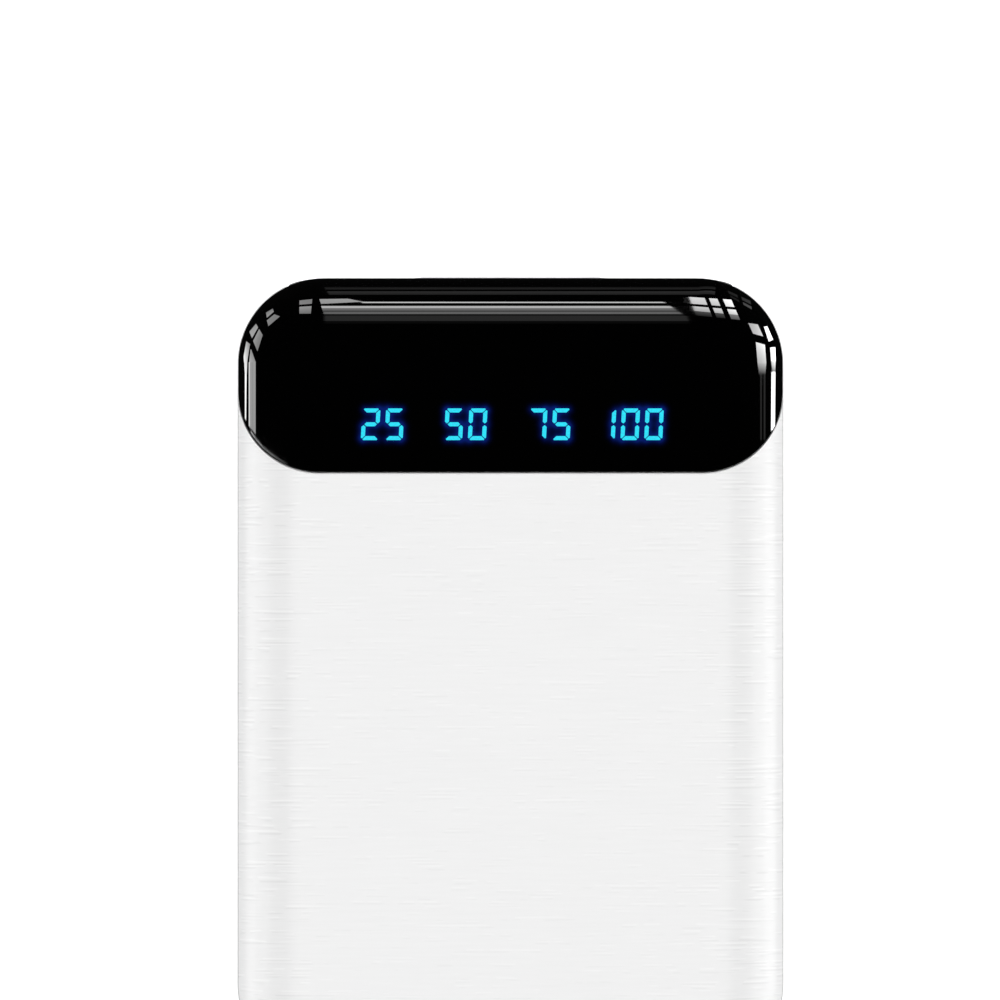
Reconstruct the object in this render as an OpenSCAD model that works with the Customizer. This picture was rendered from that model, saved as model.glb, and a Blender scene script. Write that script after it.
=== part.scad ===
// Pocket power bank with a wrap-over gloss display lens, four charging sockets and a side button.
// Frame: +Z is the display face's normal, +Y points to the socket end, +X to the button side.
// Origin: middle of the rear face, which lies on z = 0. Millimetres.

/* [Body] */
// Overall width
body_w = 62; // [61:0.5:64]
// Overall length
body_l = 90; // [90:0.5:96]
// Overall thickness
body_t = 22.4; // [22.4:0.1:23.2]
// Corner radius in plan, at the widest contour
corner_r = 9.8; // [9.2:0.1:10.4]
// How far the rounded edge reaches in from the widest contour
edge_depth = 7.4; // [7:0.1:7.6]
// Wall thickness of both shells
wall = 1.8; // [1.6:0.1:1.9]
// Height of the parting line between the shells
parting_z = 14; // [14:0.1:14.4]
// Shadow gap between the shells
parting_gap = 0.15; // [0.1:0.05:0.2]

/* [Display lens] */
// Length of the lens along the body
lens_l = 22.1; // [22:0.1:22.6]
// Thickness of the lens
lens_t = 1.2; // [1:0.1:1.2]
// Radius of the lens's two corners on the front face
lens_corner_r = 9.3; // [9:0.1:9.6]
// Gap around the lens
lens_gap = 0.1; // [0.08:0.01:0.15]
// Thickness of the black adhesive film under the lens
film_t = 0.15; // [0.1:0.05:0.2]

/* [Digits] */
// Width of one digit
digit_w = 2.05; // [1.95:0.05:2.15]
// Height of one digit
digit_h = 3.58; // [3.5:0.02:3.66]
// Width of a digit's bars
digit_stroke = 0.46; // [0.42:0.01:0.52]
// Distance between digits in one number
digit_pitch = 2.68; // [2.6:0.02:2.8]
// Forward slant of the digits, in degrees
digit_slant = 2.9; // [0:0.1:5]
// Distance of the row of digits from the socket end
digit_row = 16.7; // [16.6:0.1:16.9]

/* [Sockets] */
// Height of the sockets' common centre
socket_z = 10.2; // [10.2:0.05:10.4]
// Gap between neighbouring sockets
socket_spacing = 1.6; // [1.5:0.1:1.7]
// Length of the USB-A sockets
usb_a_l = 14; // [12:0.5:14]

/* [Power button] */
// Length of the button's face
button_l = 10; // [8:0.5:10]
// Height of the button's face
button_h = 3.4; // [3:0.1:3.6]
// Centre of the button along the body
button_y = 26.5; // [26:0.1:26.6]
// Centre height of the button
button_z = 9.8; // [9.6:0.1:9.9]
// Clearance around the button's face
button_gap = 0.15; // [0.12:0.01:0.2]

/* [Battery cells] */
// Width of a pouch cell
cell_w = 52; // [48:0.5:52]
// Length of a pouch cell, without its sealed end
cell_l = 59; // [55:0.5:59]
// Thickness of a pouch cell
cell_t = 8.2; // [7.8:0.1:8.2]

/* [Hidden] */

big = 200;                      // larger than the object, for cutting blocks
half_w = body_w / 2;
half_l = body_l / 2;
half_t = body_t / 2;
corner_x = half_w - corner_r;   // centres of the plan corners
corner_y = half_l - corner_r;
edge_power = 2.2;               // superellipse exponent of the rounded edge
edge_steps = 10;                // straight steps in a quarter of the edge's outline

// Lens and the front shell's carrier under it
lens_end_y = half_l - lens_l;
carrier_outer = lens_t + film_t;
carrier_inner = 2.4;
lens_side_x = half_w - 0.16;    // where the lens's rim ends, just inside the widest contour
window_w = 38;                  // opening in the carrier for the display housing
window_l = 7;
lip_drop = 1.2;                 // the front shell's lip inside the rear shell
lip_inset = wall + 0.1;
lip_t = 0.8;

// Main board
board_t = 1.2;
board_z = socket_z - 5.7 / 2 - board_t;
board_top = board_z + board_t;
board_w = 54;
board_y0 = 21.8;
board_y1 = half_l - 3.8;
screw_spots = [[-23.6, 24.5], [19.6, 23.4]];

// Sockets: [width, height] of each mouth, measured outside the metal shell
usb_a_size = [13.1, 5.7];
usb_c_size = [8.94, 3.26];
micro_size = [7.5, 2.7];
mouth_y = half_l - 0.7;
row_w = 2 * usb_a_size[0] + usb_c_size[0] + micro_size[0] + 3 * socket_spacing;
usb_a_x = row_w / 2 - usb_a_size[0] / 2;
micro_x = -usb_a_x + usb_a_size[0] / 2 + socket_spacing + micro_size[0] / 2;
usb_c_x = usb_a_x - usb_a_size[0] / 2 - socket_spacing - usb_c_size[0] / 2;
socket_clearance = 0.2;
shell_metal = 0.3;
plate_half_w = 25.2;
plate_low_z = 6.4;
plate_top_z = parting_z - 0.1;
plate_corner_r = 2.4;
plate_gap = 0.1;

// Button and switch
button_flange = 0.7;
switch_size = [3.5, 6, 3.5];
switch_x = 21.8;
plunger_tip_x = 26.65;
plunger_size = [1.6, 3, 1.3];   // plunger's y, its length in x, and its z
plunger_z = board_top + 1.9;

// Display
digit_y = half_l - digit_row;
lens_under_z = body_t - lens_t;
housing_w = 37.6;
housing_l = 6.6;
housing_top = lens_under_z - 0.05;
housing_low = housing_top - 4.2;
housing_roof = 2.75;
display_board_t = 0.8;
segment_low = housing_top - housing_roof;
digit_clip = 0.26;              // cut-off outer corners of a digit
bar_gap = 0.09;                 // dark gap between the bars of a digit
NUMBERS = [[-14.45, [2, 5]], [-5.05, [5, 0]], [4.4, [7, 5]], [14.85, [1, 0, 0]]];
chamber_edges = [-18.2, -9.85, -0.35, 9.1, 18.2];

// Cells
pad_rear_t = 0.8;
cell_y0 = -40.5;
cell_y1 = cell_y0 + cell_l;
lower_cell_z = wall + pad_rear_t;
cell_glue_t = 0.2;
upper_cell_z = lower_cell_z + cell_t + cell_glue_t;
cell_top = upper_cell_z + cell_t;
cell_edge_r = 2.6;
cell_corner_r = 4;
seal_l = 2;                     // sealed flat end of a pouch cell
seal_t = 0.5;
tab_x = 14;
tab_w = 5;
tab_t = 0.2;
lead_r = 0.75;
lead_bend = 1.7;
lead_z = 11.4;

// ---------- outline helpers ----------

function arc(cx, cy, r, a0, a1, n) =
  [for (i = [0:n]) let (a = a0 + (a1 - a0) * i / n) [cx + r * cos(a), cy + r * sin(a)]];

function round_rect(w, h, r, n = 6) = concat(
  arc(w / 2 - r, h / 2 - r, r, 0, 90, n), arc(r - w / 2, h / 2 - r, r, 90, 180, n),
  arc(r - w / 2, r - h / 2, r, 180, 270, n), arc(w / 2 - r, r - h / 2, r, 270, 360, n));

// A point of the rounded edge, moved inwards by inset: [reach from the flat, height from the middle]
function edge_point(a, inset) =
  let (reach = edge_depth * pow(cos(a), 2 / edge_power),
       height = half_t * pow(sin(a), 2 / edge_power),
       n = [pow(cos(a), 2 - 2 / edge_power) / edge_depth,
            pow(sin(a), 2 - 2 / edge_power) / half_t])
  [reach - inset * n[0] / norm(n), height - inset * n[1] / norm(n)];

function edge_outline(start, inset) =
  [for (i = [-edge_steps:edge_steps])
    let (p = edge_point(90 * abs(i) / edge_steps, inset)) [start + p[0], sign(i) * p[1]]];

function mirrored_x(points) = [for (i = [len(points) - 1:-1:0]) [-points[i][0], points[i][1]]];

// Extrude an outline drawn in (x, z) along Y, or one drawn in (y, z) along X
module along_y(y0, y1) {
  translate([0, y1, 0]) rotate([90, 0, 0]) linear_extrude(y1 - y0) children();
}
module along_x(x0, x1) {
  translate([x0, 0, 0]) rotate([90, 0, 90]) linear_extrude(x1 - x0) children();
}
module block(low, high) {
  translate(low) cube(high - low);
}
module above(z) {
  translate([-big / 2, -big / 2, z]) cube(big);
}
module below(z) {
  translate([-big / 2, -big / 2, z - big]) cube(big);
}

// The whole outer form, moved inwards by inset
module pebble(inset = 0) {
  flat = half_t - inset;
  edge = edge_outline(half_w - edge_depth, inset);
  end_edge = edge_outline(half_l - edge_depth, inset);
  corner_edge = edge_outline(corner_r - edge_depth, inset);
  translate([0, 0, half_t]) {
    along_y(-corner_y, corner_y) polygon(concat(edge, mirrored_x(edge)));
    for (turn = [0, 180]) rotate([0, 0, turn])
      along_x(-corner_x, corner_x)
        polygon(concat([[corner_y, -flat]], end_edge, [[corner_y, flat]]));
    for (k = [0:3])
      translate([[1, -1, -1, 1][k] * corner_x, [1, 1, -1, -1][k] * corner_y, 0])
        rotate([0, 0, 90 * k]) rotate_extrude(angle = 90)
          polygon(concat([[0, -flat]], corner_edge, [[0, flat]]));
  }
}

module layer(outer, inner) {
  difference() {
    pebble(outer);
    pebble(inner);
  }
}

// Plan of the lens: open at the sides and the socket end, round at its two front-face corners
module lens_plan(grow = 0) {
  r = lens_corner_r + grow;
  x = lens_side_x - lens_corner_r;
  y = lens_end_y + lens_corner_r;
  translate([0, 0, parting_z]) linear_extrude(body_t)
    polygon(concat([[half_w + 5, half_l + 5], [-half_w - 5, half_l + 5], [-half_w - 5, y]],
      arc(-x, y, r, 180, 270, 14), arc(x, y, r, 270, 360, 14), [[half_w + 5, y]]));
}

module button_outline(grow = 0) {
  translate([button_y, button_z])
    polygon(round_rect(button_l + 2 * grow, button_h + 2 * grow, button_h / 2 + grow - 0.01, 8));
}

module plate_outline(grow = 0) {
  low = plate_low_z - grow;
  top = plate_top_z + 4;
  translate([0, (low + top) / 2])
    polygon(round_rect(2 * (plate_half_w + grow), top - low, plate_corner_r, 6));
}

// ---------- digits ----------

function top_bar() =
  let (w = digit_w / 2, h = digit_h / 2, t = digit_stroke, c = digit_clip, e = bar_gap * 0.7)
  [[c - w, h], [w - c, h], [w - c / 2 - e, h - c / 2], [w - t - e, h - t],
   [t + e - w, h - t], [c / 2 + e - w, h - c / 2]];

function right_bar() =
  let (w = digit_w / 2, h = digit_h / 2, t = digit_stroke, c = digit_clip, e = bar_gap * 0.7,
       shoulder = bar_gap + 0.2)
  [[w - c / 2, h - c / 2 - e], [w - t, h - t - e], [w - t, shoulder], [w - t / 2, bar_gap],
   [w, shoulder], [w, h - c]];

function middle_bar() =
  let (w = digit_w / 2, t = digit_stroke, e = bar_gap)
  [[w - t / 2 - e, 0], [w - t - e, t / 2], [t + e - w, t / 2], [t / 2 + e - w, 0],
   [t + e - w, -t / 2], [w - t - e, -t / 2]];

function flipped(points, fx, fy) = [for (p = points) [fx * p[0], fy * p[1]]];

// The seven bars in turn: top, upper right, lower right, bottom, lower left, upper left, middle
BARS = [top_bar(), right_bar(), flipped(right_bar(), 1, -1), flipped(top_bar(), 1, -1),
  flipped(right_bar(), -1, -1), flipped(right_bar(), -1, 1), middle_bar()];

function lit_bars(digit) =
  digit == 0 ? [0, 1, 2, 3, 4, 5] :
  digit == 1 ? [1, 2] :
  digit == 2 ? [0, 1, 6, 4, 3] :
  digit == 5 ? [0, 5, 6, 2, 3] :
  [0, 1, 2];

function slanted(points) = [for (p = points) [p[0] + p[1] * tan(digit_slant), p[1]]];

function digit_x(number, i) =
  NUMBERS[number][0] + (i - len(NUMBERS[number][1]) + 1.5) * digit_pitch;

// The lit bars of one number as separate prisms
module number_bars(number, low, high) {
  digits = NUMBERS[number][1];
  for (i = [0:len(digits) - 1], bar = lit_bars(digits[i]))
    translate([digit_x(number, i), digit_y, low])
      linear_extrude(high - low) polygon(slanted(BARS[bar]));
}

// ---------- casing ----------

module front_shell() color("whitesmoke") {
  difference() {
    union() {
      difference() {
        pebble();
        below(parting_z);
        intersection() {
          pebble(wall);
          block([-big, -big, 0], [big, lens_end_y - 1.5, big]);
        }
        pebble(carrier_inner);
        difference() {
          lens_plan(lens_gap);
          pebble(carrier_outer);
        }
      }
      intersection() {
        layer(lip_inset, lip_inset + lip_t);
        block([-big, -big, parting_z - lip_drop], [big, big, parting_z + 1]);
      }
      intersection() {
        layer(carrier_outer, lip_inset + lip_t);
        block([-big, -big, parting_z], [big, big, parting_z + 1]);
      }
    }
    // Window for the display housing
    block([-window_w / 2, digit_y - window_l / 2, lens_under_z - 3],
      [window_w / 2, digit_y + window_l / 2, big]);
    // The lip stops at the socket row and at the button
    block([-plate_half_w - 1.5, corner_y, 0], [plate_half_w + 1.5, big, parting_z + 0.4]);
    block([half_w - 6, button_y - button_l / 2 - 1.5, 0],
      [big, button_y + button_l / 2 + 1.5, parting_z]);
  }
}

module rear_shell() color("whitesmoke") {
  difference() {
    pebble();
    above(parting_z - parting_gap);
    pebble(wall);
    along_y(corner_y, half_l + 1) plate_outline(plate_gap);
    along_x(corner_x, half_w + 1) button_outline(button_gap);
  }
  // Screw bosses under the main board
  for (p = screw_spots) translate([p[0], p[1], wall - 0.2]) difference() {
    cylinder(r = 2, h = board_z - wall + 0.2, $fn = 48);
    translate([0, 0, 1]) cylinder(r = 0.65, h = board_z, $fn = 32);
  }
  // Board rests near the sockets and stops around the cells
  for (x = [-21, 21]) block([x - 1, 34, wall - 0.2], [x + 1, 37, board_z]);
  for (x = [-18, 18]) {
    block([x - 3, cell_y0 - 1.3, wall - 0.2], [x + 3, cell_y0 - 0.3, 5.5]);
    block([x - 3, cell_y1 + seal_l - 1.4, wall - 0.2], [x + 3, cell_y1 + seal_l - 0.6, 5.2]);
  }
}

module display_lens() color([0.02, 0.02, 0.025]) {
  difference() {
    intersection() {
      layer(0, lens_t);
      lens_plan();
    }
    for (k = [0:3]) number_bars(k, lens_under_z - 1, body_t + 1);
  }
}

module lens_film() color([0.05, 0.05, 0.05]) {
  difference() {
    intersection() {
      layer(lens_t, carrier_outer);
      lens_plan(-0.6);
      above(parting_z + 0.6);
    }
    block([-window_w / 2, digit_y - window_l / 2, 0], [window_w / 2, digit_y + window_l / 2, big]);
  }
}

module socket_mouth(x, size, r, grow) {
  translate([x, socket_z])
    polygon(round_rect(size[0] + 2 * grow, size[1] + 2 * grow, r + grow, 6));
}

module port_plate() color([0.03, 0.03, 0.03]) {
  difference() {
    union() {
      intersection() {
        layer(0, wall + 0.9);
        along_y(corner_y, half_l + 1) plate_outline();
      }
      intersection() {
        layer(wall + 0.1, wall + 0.9);
        along_y(corner_y, half_l + 1) plate_outline(1.1);
      }
    }
    above(plate_top_z);
    along_y(corner_y - 1, half_l + 2) {
      for (x = [-usb_a_x, usb_a_x]) socket_mouth(x, usb_a_size, 0.7, socket_clearance);
      socket_mouth(usb_c_x, usb_c_size, 1.62, socket_clearance);
      socket_mouth(micro_x, micro_size, 0.9, socket_clearance);
    }
  }
}

module power_button() color("whitesmoke") {
  intersection() {
    layer(0, wall + 0.8);
    along_x(corner_x, half_w + 1) button_outline();
  }
  intersection() {
    layer(wall + 0.15, wall + 0.8);
    along_x(corner_x, half_w + 1) button_outline(button_flange);
  }
  // Stem that meets the switch's plunger
  block([plunger_tip_x + 0.05, button_y - 1.5, plunger_z - 1],
    [half_w - wall - 0.6, button_y + 1.5, plunger_z + 1.2]);
}

// ---------- button switch ----------

module plunger_outline(grow = 0) {
  translate([button_y, plunger_z])
    polygon(round_rect(plunger_size[0] + 2 * grow, plunger_size[2] + 2 * grow, 0.3, 4));
}

module tact_switch_body() color("dimgray") {
  difference() {
    block([switch_x, button_y - switch_size[1] / 2, board_top],
      [switch_x + switch_size[0], button_y + switch_size[1] / 2, board_top + switch_size[2]]);
    along_x(plunger_tip_x - plunger_size[1] - 0.5, half_w) plunger_outline(0.15);
  }
}

module tact_switch_plunger() color("black") {
  along_x(plunger_tip_x - plunger_size[1], plunger_tip_x) plunger_outline();
}

// ---------- main board and its parts ----------

module main_board() color("darkgreen") {
  r = 7;
  w = board_w / 2;
  difference() {
    translate([0, 0, board_z]) linear_extrude(board_t) polygon(concat(
      arc(w - r, board_y1 - r, r, 0, 90, 8), arc(r - w, board_y1 - r, r, 90, 180, 8),
      [[-w, board_y0], [w, board_y0]]));
    for (p = screw_spots) translate([p[0], p[1], 0]) cylinder(r = 0.95, h = board_top + 1, $fn = 32);
  }
}

module board_screws() color("silver") {
  for (p = screw_spots) translate([p[0], p[1], 0]) difference() {
    union() {
      translate([0, 0, board_z - 3]) cylinder(r = 0.65, h = board_t + 3.1, $fn = 32);
      translate([0, 0, board_top]) cylinder(r = 1.5, h = 0.9, $fn = 40);
    }
    // Cross slot
    for (turn = [0, 90]) translate([0, 0, board_top + 0.7]) rotate([0, 0, turn])
      cube([1.8, 0.35, 0.9], center = true);
  }
}

module usb_a_shell(x) color("silver") {
  inner = usb_a_size - [2 * shell_metal, 2 * shell_metal];
  back_y = mouth_y - usb_a_l;
  difference() {
    along_y(back_y, mouth_y) socket_mouth(x, usb_a_size, 0.7, 0);
    along_y(back_y + 0.3, mouth_y + 1) socket_mouth(x, inner, 0.4, 0);
    // Windows of the four contact springs
    for (side = [-1, 1], dx = [-2.9, 2.9])
      translate([x + dx, mouth_y - 6, socket_z + side * usb_a_size[1] / 2])
        cube([1.9, 6, 1], center = true);
  }
  // Contact springs, leaning inwards from the back edge of each window
  for (side = [-1, 1], dx = [-2.9, 2.9])
    translate([x + dx, mouth_y - 9.1, socket_z + side * (usb_a_size[1] / 2 - shell_metal / 2)])
      rotate([-side * 5, 0, 0]) translate([-0.6, 0, -shell_metal / 2]) cube([1.2, 5.3, 0.25]);
}

module usb_a_insulator(x) color("white") {
  back_y = mouth_y - usb_a_l + 0.3;
  h = usb_a_size[1] / 2 - shell_metal;
  along_y(back_y, back_y + 3.5) socket_mouth(x, usb_a_size - [0.8, 0.8], 0.35, 0);
  block([x - 5.55, back_y + 3, socket_z + h - 2.8], [x + 5.55, mouth_y - 0.9, socket_z + h - 0.95]);
}

module usb_a_contacts(x) color("gold") {
  z = socket_z + usb_a_size[1] / 2 - shell_metal - 2.8;
  for (dx = [-3.5, -1, 1, 3.5])
    block([x + dx - 0.5, mouth_y - 9.5, z - 0.2], [x + dx + 0.5, mouth_y - 1.6, z]);
}

module usb_a_left_shell() usb_a_shell(-usb_a_x);
module usb_a_left_insulator() usb_a_insulator(-usb_a_x);
module usb_a_left_contacts() usb_a_contacts(-usb_a_x);
module usb_a_right_shell() usb_a_shell(usb_a_x);
module usb_a_right_insulator() usb_a_insulator(usb_a_x);
module usb_a_right_contacts() usb_a_contacts(usb_a_x);

module small_socket_shell(x, size, r, length) color("silver") {
  inner = size - [2 * shell_metal, 2 * shell_metal];
  difference() {
    along_y(mouth_y - length, mouth_y) socket_mouth(x, size, r, 0);
    along_y(mouth_y - length + 0.3, mouth_y + 1) socket_mouth(x, inner, r - shell_metal, 0);
  }
}

module usb_c_shell() small_socket_shell(usb_c_x, usb_c_size, 1.62, 7.3);

module usb_c_insulator() color("black") {
  along_y(mouth_y - 7, mouth_y - 5.6) socket_mouth(usb_c_x, usb_c_size - [0.8, 0.8], 1.2, 0);
  block([usb_c_x - 3.35, mouth_y - 6, socket_z - 0.3], [usb_c_x + 3.35, mouth_y - 0.8, socket_z + 0.3]);
}

module usb_c_contacts() color("gold") {
  for (k = [0:11], side = [-1, 1])
    translate([usb_c_x + (k - 5.5) * 0.5, mouth_y - 3.2, socket_z + side * 0.35])
      cube([0.28, 3.6, 0.1], center = true);
}

module riser(x, w, top) color("black") {
  block([x - w / 2, mouth_y - 5.4, board_top], [x + w / 2, mouth_y - 3.4, top]);
}

module usb_c_riser() riser(usb_c_x, 6.4, socket_z - usb_c_size[1] / 2);

module micro_usb_shell() small_socket_shell(micro_x, micro_size, 0.9, 5.6);

module micro_usb_insulator() color("black") {
  along_y(mouth_y - 5.3, mouth_y - 4.2) socket_mouth(micro_x, micro_size - [0.8, 0.8], 0.5, 0);
  block([micro_x - 1.85, mouth_y - 4.6, socket_z + 0.1], [micro_x + 1.85, mouth_y - 0.8, socket_z + 0.7]);
}

module micro_usb_contacts() color("gold") {
  for (k = [-2:2])
    translate([micro_x + k * 0.65, mouth_y - 2.7, socket_z + 0.05]) cube([0.35, 3, 0.1], center = true);
}

module micro_usb_riser() riser(micro_x, 5.2, socket_z - micro_size[1] / 2);

module power_inductor() color("dimgray") {
  translate([-11.4, 25.7, board_top]) {
    linear_extrude(0.8) polygon(round_rect(6.6, 6.6, 1, 4));
    translate([0, 0, 0.8]) cylinder(r = 2.7, h = 1.4, $fn = 48);
    translate([0, 0, 2.2]) linear_extrude(0.8) polygon(round_rect(6.6, 6.6, 1.6, 4));
  }
}

// A chip with gull-wing legs along its two long sides
module chip(x, y, size, pins) {
  block([x - size[0] / 2, y - size[1] / 2, board_top + 0.15],
    [x + size[0] / 2, y + size[1] / 2, board_top + size[2]]);
  for (k = [0:pins - 1], side = [-1, 1])
    translate([x + (k - (pins - 1) / 2) * 1.27, y + side * (size[1] / 2 + 0.35), board_top + 0.2])
      cube([0.42, 1.1, 0.4], center = true);
}

module charge_chip() color([0.1, 0.1, 0.1]) chip(-4.6, 25.6, [5, 3.9, 1.5], 4);
module boost_chip() color([0.1, 0.1, 0.1]) chip(4.2, 25.6, [5, 3.9, 1.5], 4);

module ceramic_capacitors() color("tan") {
  for (x = [-19.8, 9.2, 12.2], y = [24, 27.2])
    translate([x, y, board_top + 0.6]) cube([1.25, 2, 1.2], center = true);
}

module chip_resistors() color([0.12, 0.12, 0.14]) {
  for (k = [0:7])
    translate([-6.3 + k * 1.8, 31.2, board_top + 0.25]) cube([0.8, 1.6, 0.5], center = true);
}

// ---------- display module ----------

module display_housing() color("white") {
  difference() {
    block([-housing_w / 2, digit_y - housing_l / 2, housing_low],
      [housing_w / 2, digit_y + housing_l / 2, housing_top]);
    // One light chamber per number, so that each lights alone
    for (k = [0:3])
      block([chamber_edges[k] + 0.3, digit_y - housing_l / 2 + 0.7, housing_low - 1],
        [chamber_edges[k + 1] - 0.3, digit_y + housing_l / 2 - 0.7, segment_low]);
    for (k = [0:3]) number_bars(k, segment_low - 1, housing_top + 1);
  }
}

module display_board() color("darkgreen") {
  block([-housing_w / 2, digit_y - housing_l / 2, housing_low - display_board_t],
    [housing_w / 2, digit_y + housing_l / 2, housing_low]);
}

module display_leds() color("lightyellow") {
  for (n = [0:3], i = [0:len(NUMBERS[n][1]) - 1], dy = [-1, 1])
    translate([digit_x(n, i), digit_y + dy, housing_low + 0.3]) cube([0.8, 1.6, 0.6], center = true);
}

module display_pins() color("gold") {
  for (side = [-1, 1], k = [-1:1])
    translate([side * 16.9 + k * 1.27 - 0.25, digit_y - 2.75, board_top])
      cube([0.5, 0.5, housing_low - display_board_t - board_top]);
}

module indicator(number) color([0.2, 0.8, 0.93]) {
  number_bars(number, segment_low, body_t);
}

module indicator_25() indicator(0);
module indicator_50() indicator(1);
module indicator_75() indicator(2);
module indicator_100() indicator(3);

// ---------- battery ----------

module pouch_cell(z) color("lightgray") {
  intersection() {
    along_y(cell_y0, cell_y1) translate([0, z + cell_t / 2])
      polygon(round_rect(cell_w, cell_t, cell_edge_r, 6));
    along_x(-cell_w, cell_w) translate([(cell_y0 + cell_y1) / 2, z + cell_t / 2])
      polygon(round_rect(cell_l, cell_t, cell_edge_r, 6));
    translate([0, (cell_y0 + cell_y1) / 2, 0]) linear_extrude(big)
      polygon(round_rect(cell_w + 0.01, cell_l + 0.01, cell_corner_r, 6));
  }
  block([-cell_w / 2 + 3, cell_y1 - 0.5, z + cell_t / 2 - seal_t / 2],
    [cell_w / 2 - 3, cell_y1 + seal_l, z + cell_t / 2 + seal_t / 2]);
}

module lower_cell() pouch_cell(lower_cell_z);
module upper_cell() pouch_cell(upper_cell_z);

module cell_adhesive() color("khaki") {
  block([-cell_w / 2 + 4, cell_y0 + 4, lower_cell_z + cell_t], [cell_w / 2 - 4, cell_y1 - 4, upper_cell_z]);
}

// Each pole: a strip out of either cell, and an upright strip that joins them
module cell_tabs() color("silver") {
  low = lower_cell_z + cell_t / 2 + seal_t / 2;
  high = upper_cell_z + cell_t / 2 + seal_t / 2;
  end_y = cell_y1 + seal_l + 0.4;
  for (x = [-tab_x, tab_x]) {
    for (z = [low, high]) block([x - tab_w / 2, cell_y1 + 0.6, z], [x + tab_w / 2, end_y, z + tab_t]);
    block([x - tab_w / 2, end_y - tab_t, low], [x + tab_w / 2, end_y, high + tab_t]);
  }
}

module insulation_tape() color([0.8, 0.5, 0.1, 0.8]) {
  z = (lower_cell_z + cell_top) / 2;
  h = cell_top - lower_cell_z;
  along_y(cell_y1 - 16, cell_y1 - 4) difference() {
    translate([0, z]) polygon(round_rect(cell_w + 0.3, h + 0.3, cell_edge_r + 0.15, 6));
    translate([0, z]) polygon(round_rect(cell_w, h, cell_edge_r, 6));
  }
}

module foam_pad(z0, z1) color([0.25, 0.25, 0.27]) {
  block([-20, cell_y0 + 6, z0], [20, cell_y1 - 20, z1]);
}

module front_foam_pad() foam_pad(cell_top, body_t - wall - 0.1);
module rear_foam_pad() foam_pad(wall, lower_cell_z);

// A short wire: out of the tab strip, round a bend and down onto the main board
module battery_lead(x) {
  start_y = cell_y1 + seal_l + 0.4;
  bend_y = start_y + 1;
  translate([x, start_y, lead_z]) rotate([-90, 0, 0]) cylinder(r = lead_r, h = bend_y - start_y, $fn = 32);
  translate([x, bend_y, lead_z - lead_bend]) rotate([90, 0, 90])
    rotate_extrude(angle = 90, $fn = 64) translate([lead_bend, 0]) circle(r = lead_r, $fn = 32);
  translate([x, bend_y + lead_bend, board_top])
    cylinder(r = lead_r, h = lead_z - lead_bend - board_top, $fn = 32);
}

module battery_lead_positive() color("red") battery_lead(tab_x + 1.2);
module battery_lead_negative() color("black") battery_lead(-tab_x - 1.7);

front_shell();
rear_shell();
display_lens();
lens_film();
port_plate();
power_button();
tact_switch_body();
tact_switch_plunger();
main_board();
board_screws();
usb_a_left_shell();
usb_a_left_insulator();
usb_a_left_contacts();
usb_a_right_shell();
usb_a_right_insulator();
usb_a_right_contacts();
usb_c_shell();
usb_c_insulator();
usb_c_contacts();
usb_c_riser();
micro_usb_shell();
micro_usb_insulator();
micro_usb_contacts();
micro_usb_riser();
power_inductor();
charge_chip();
boost_chip();
ceramic_capacitors();
chip_resistors();
display_housing();
display_board();
display_leds();
display_pins();
indicator_25();
indicator_50();
indicator_75();
indicator_100();
lower_cell();
upper_cell();
cell_adhesive();
cell_tabs();
insulation_tape();
front_foam_pad();
rear_foam_pad();
battery_lead_positive();
battery_lead_negative();
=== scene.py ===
import math

import bmesh
import bpy
import numpy as np
from mathutils import Matrix, Vector
from mathutils.geometry import delaunay_2d_cdt

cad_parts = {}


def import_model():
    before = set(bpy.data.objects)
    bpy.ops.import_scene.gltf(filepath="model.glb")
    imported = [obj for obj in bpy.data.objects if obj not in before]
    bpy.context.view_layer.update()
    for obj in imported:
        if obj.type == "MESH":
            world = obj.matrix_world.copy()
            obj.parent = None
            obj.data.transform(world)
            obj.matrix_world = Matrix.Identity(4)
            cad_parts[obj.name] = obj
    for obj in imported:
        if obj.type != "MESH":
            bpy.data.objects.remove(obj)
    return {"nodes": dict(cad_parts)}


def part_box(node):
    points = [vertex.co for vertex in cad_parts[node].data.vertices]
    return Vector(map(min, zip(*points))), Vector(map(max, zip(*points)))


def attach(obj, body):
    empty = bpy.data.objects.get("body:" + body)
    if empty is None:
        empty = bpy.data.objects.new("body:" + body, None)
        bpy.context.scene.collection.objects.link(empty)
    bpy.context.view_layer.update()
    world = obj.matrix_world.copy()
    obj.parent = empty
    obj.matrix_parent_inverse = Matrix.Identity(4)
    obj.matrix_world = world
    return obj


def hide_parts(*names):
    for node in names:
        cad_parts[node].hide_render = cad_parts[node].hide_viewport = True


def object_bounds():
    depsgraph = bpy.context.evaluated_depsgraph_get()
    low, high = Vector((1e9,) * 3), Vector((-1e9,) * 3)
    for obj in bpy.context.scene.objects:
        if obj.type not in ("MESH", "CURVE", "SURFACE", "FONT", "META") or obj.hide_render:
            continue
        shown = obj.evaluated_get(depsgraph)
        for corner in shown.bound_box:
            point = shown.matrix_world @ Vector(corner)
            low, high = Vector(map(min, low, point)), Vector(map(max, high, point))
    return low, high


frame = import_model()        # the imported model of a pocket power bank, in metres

CAD_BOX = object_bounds()
SCENE = bpy.context.scene
MM = 0.001


def mm_box(node):
    """Lowest and highest corner of a CAD node, in millimetres."""
    lo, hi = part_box(node)
    return [c / MM for c in lo], [c / MM for c in hi]


# ---------- sizes, in millimetres ----------

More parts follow.
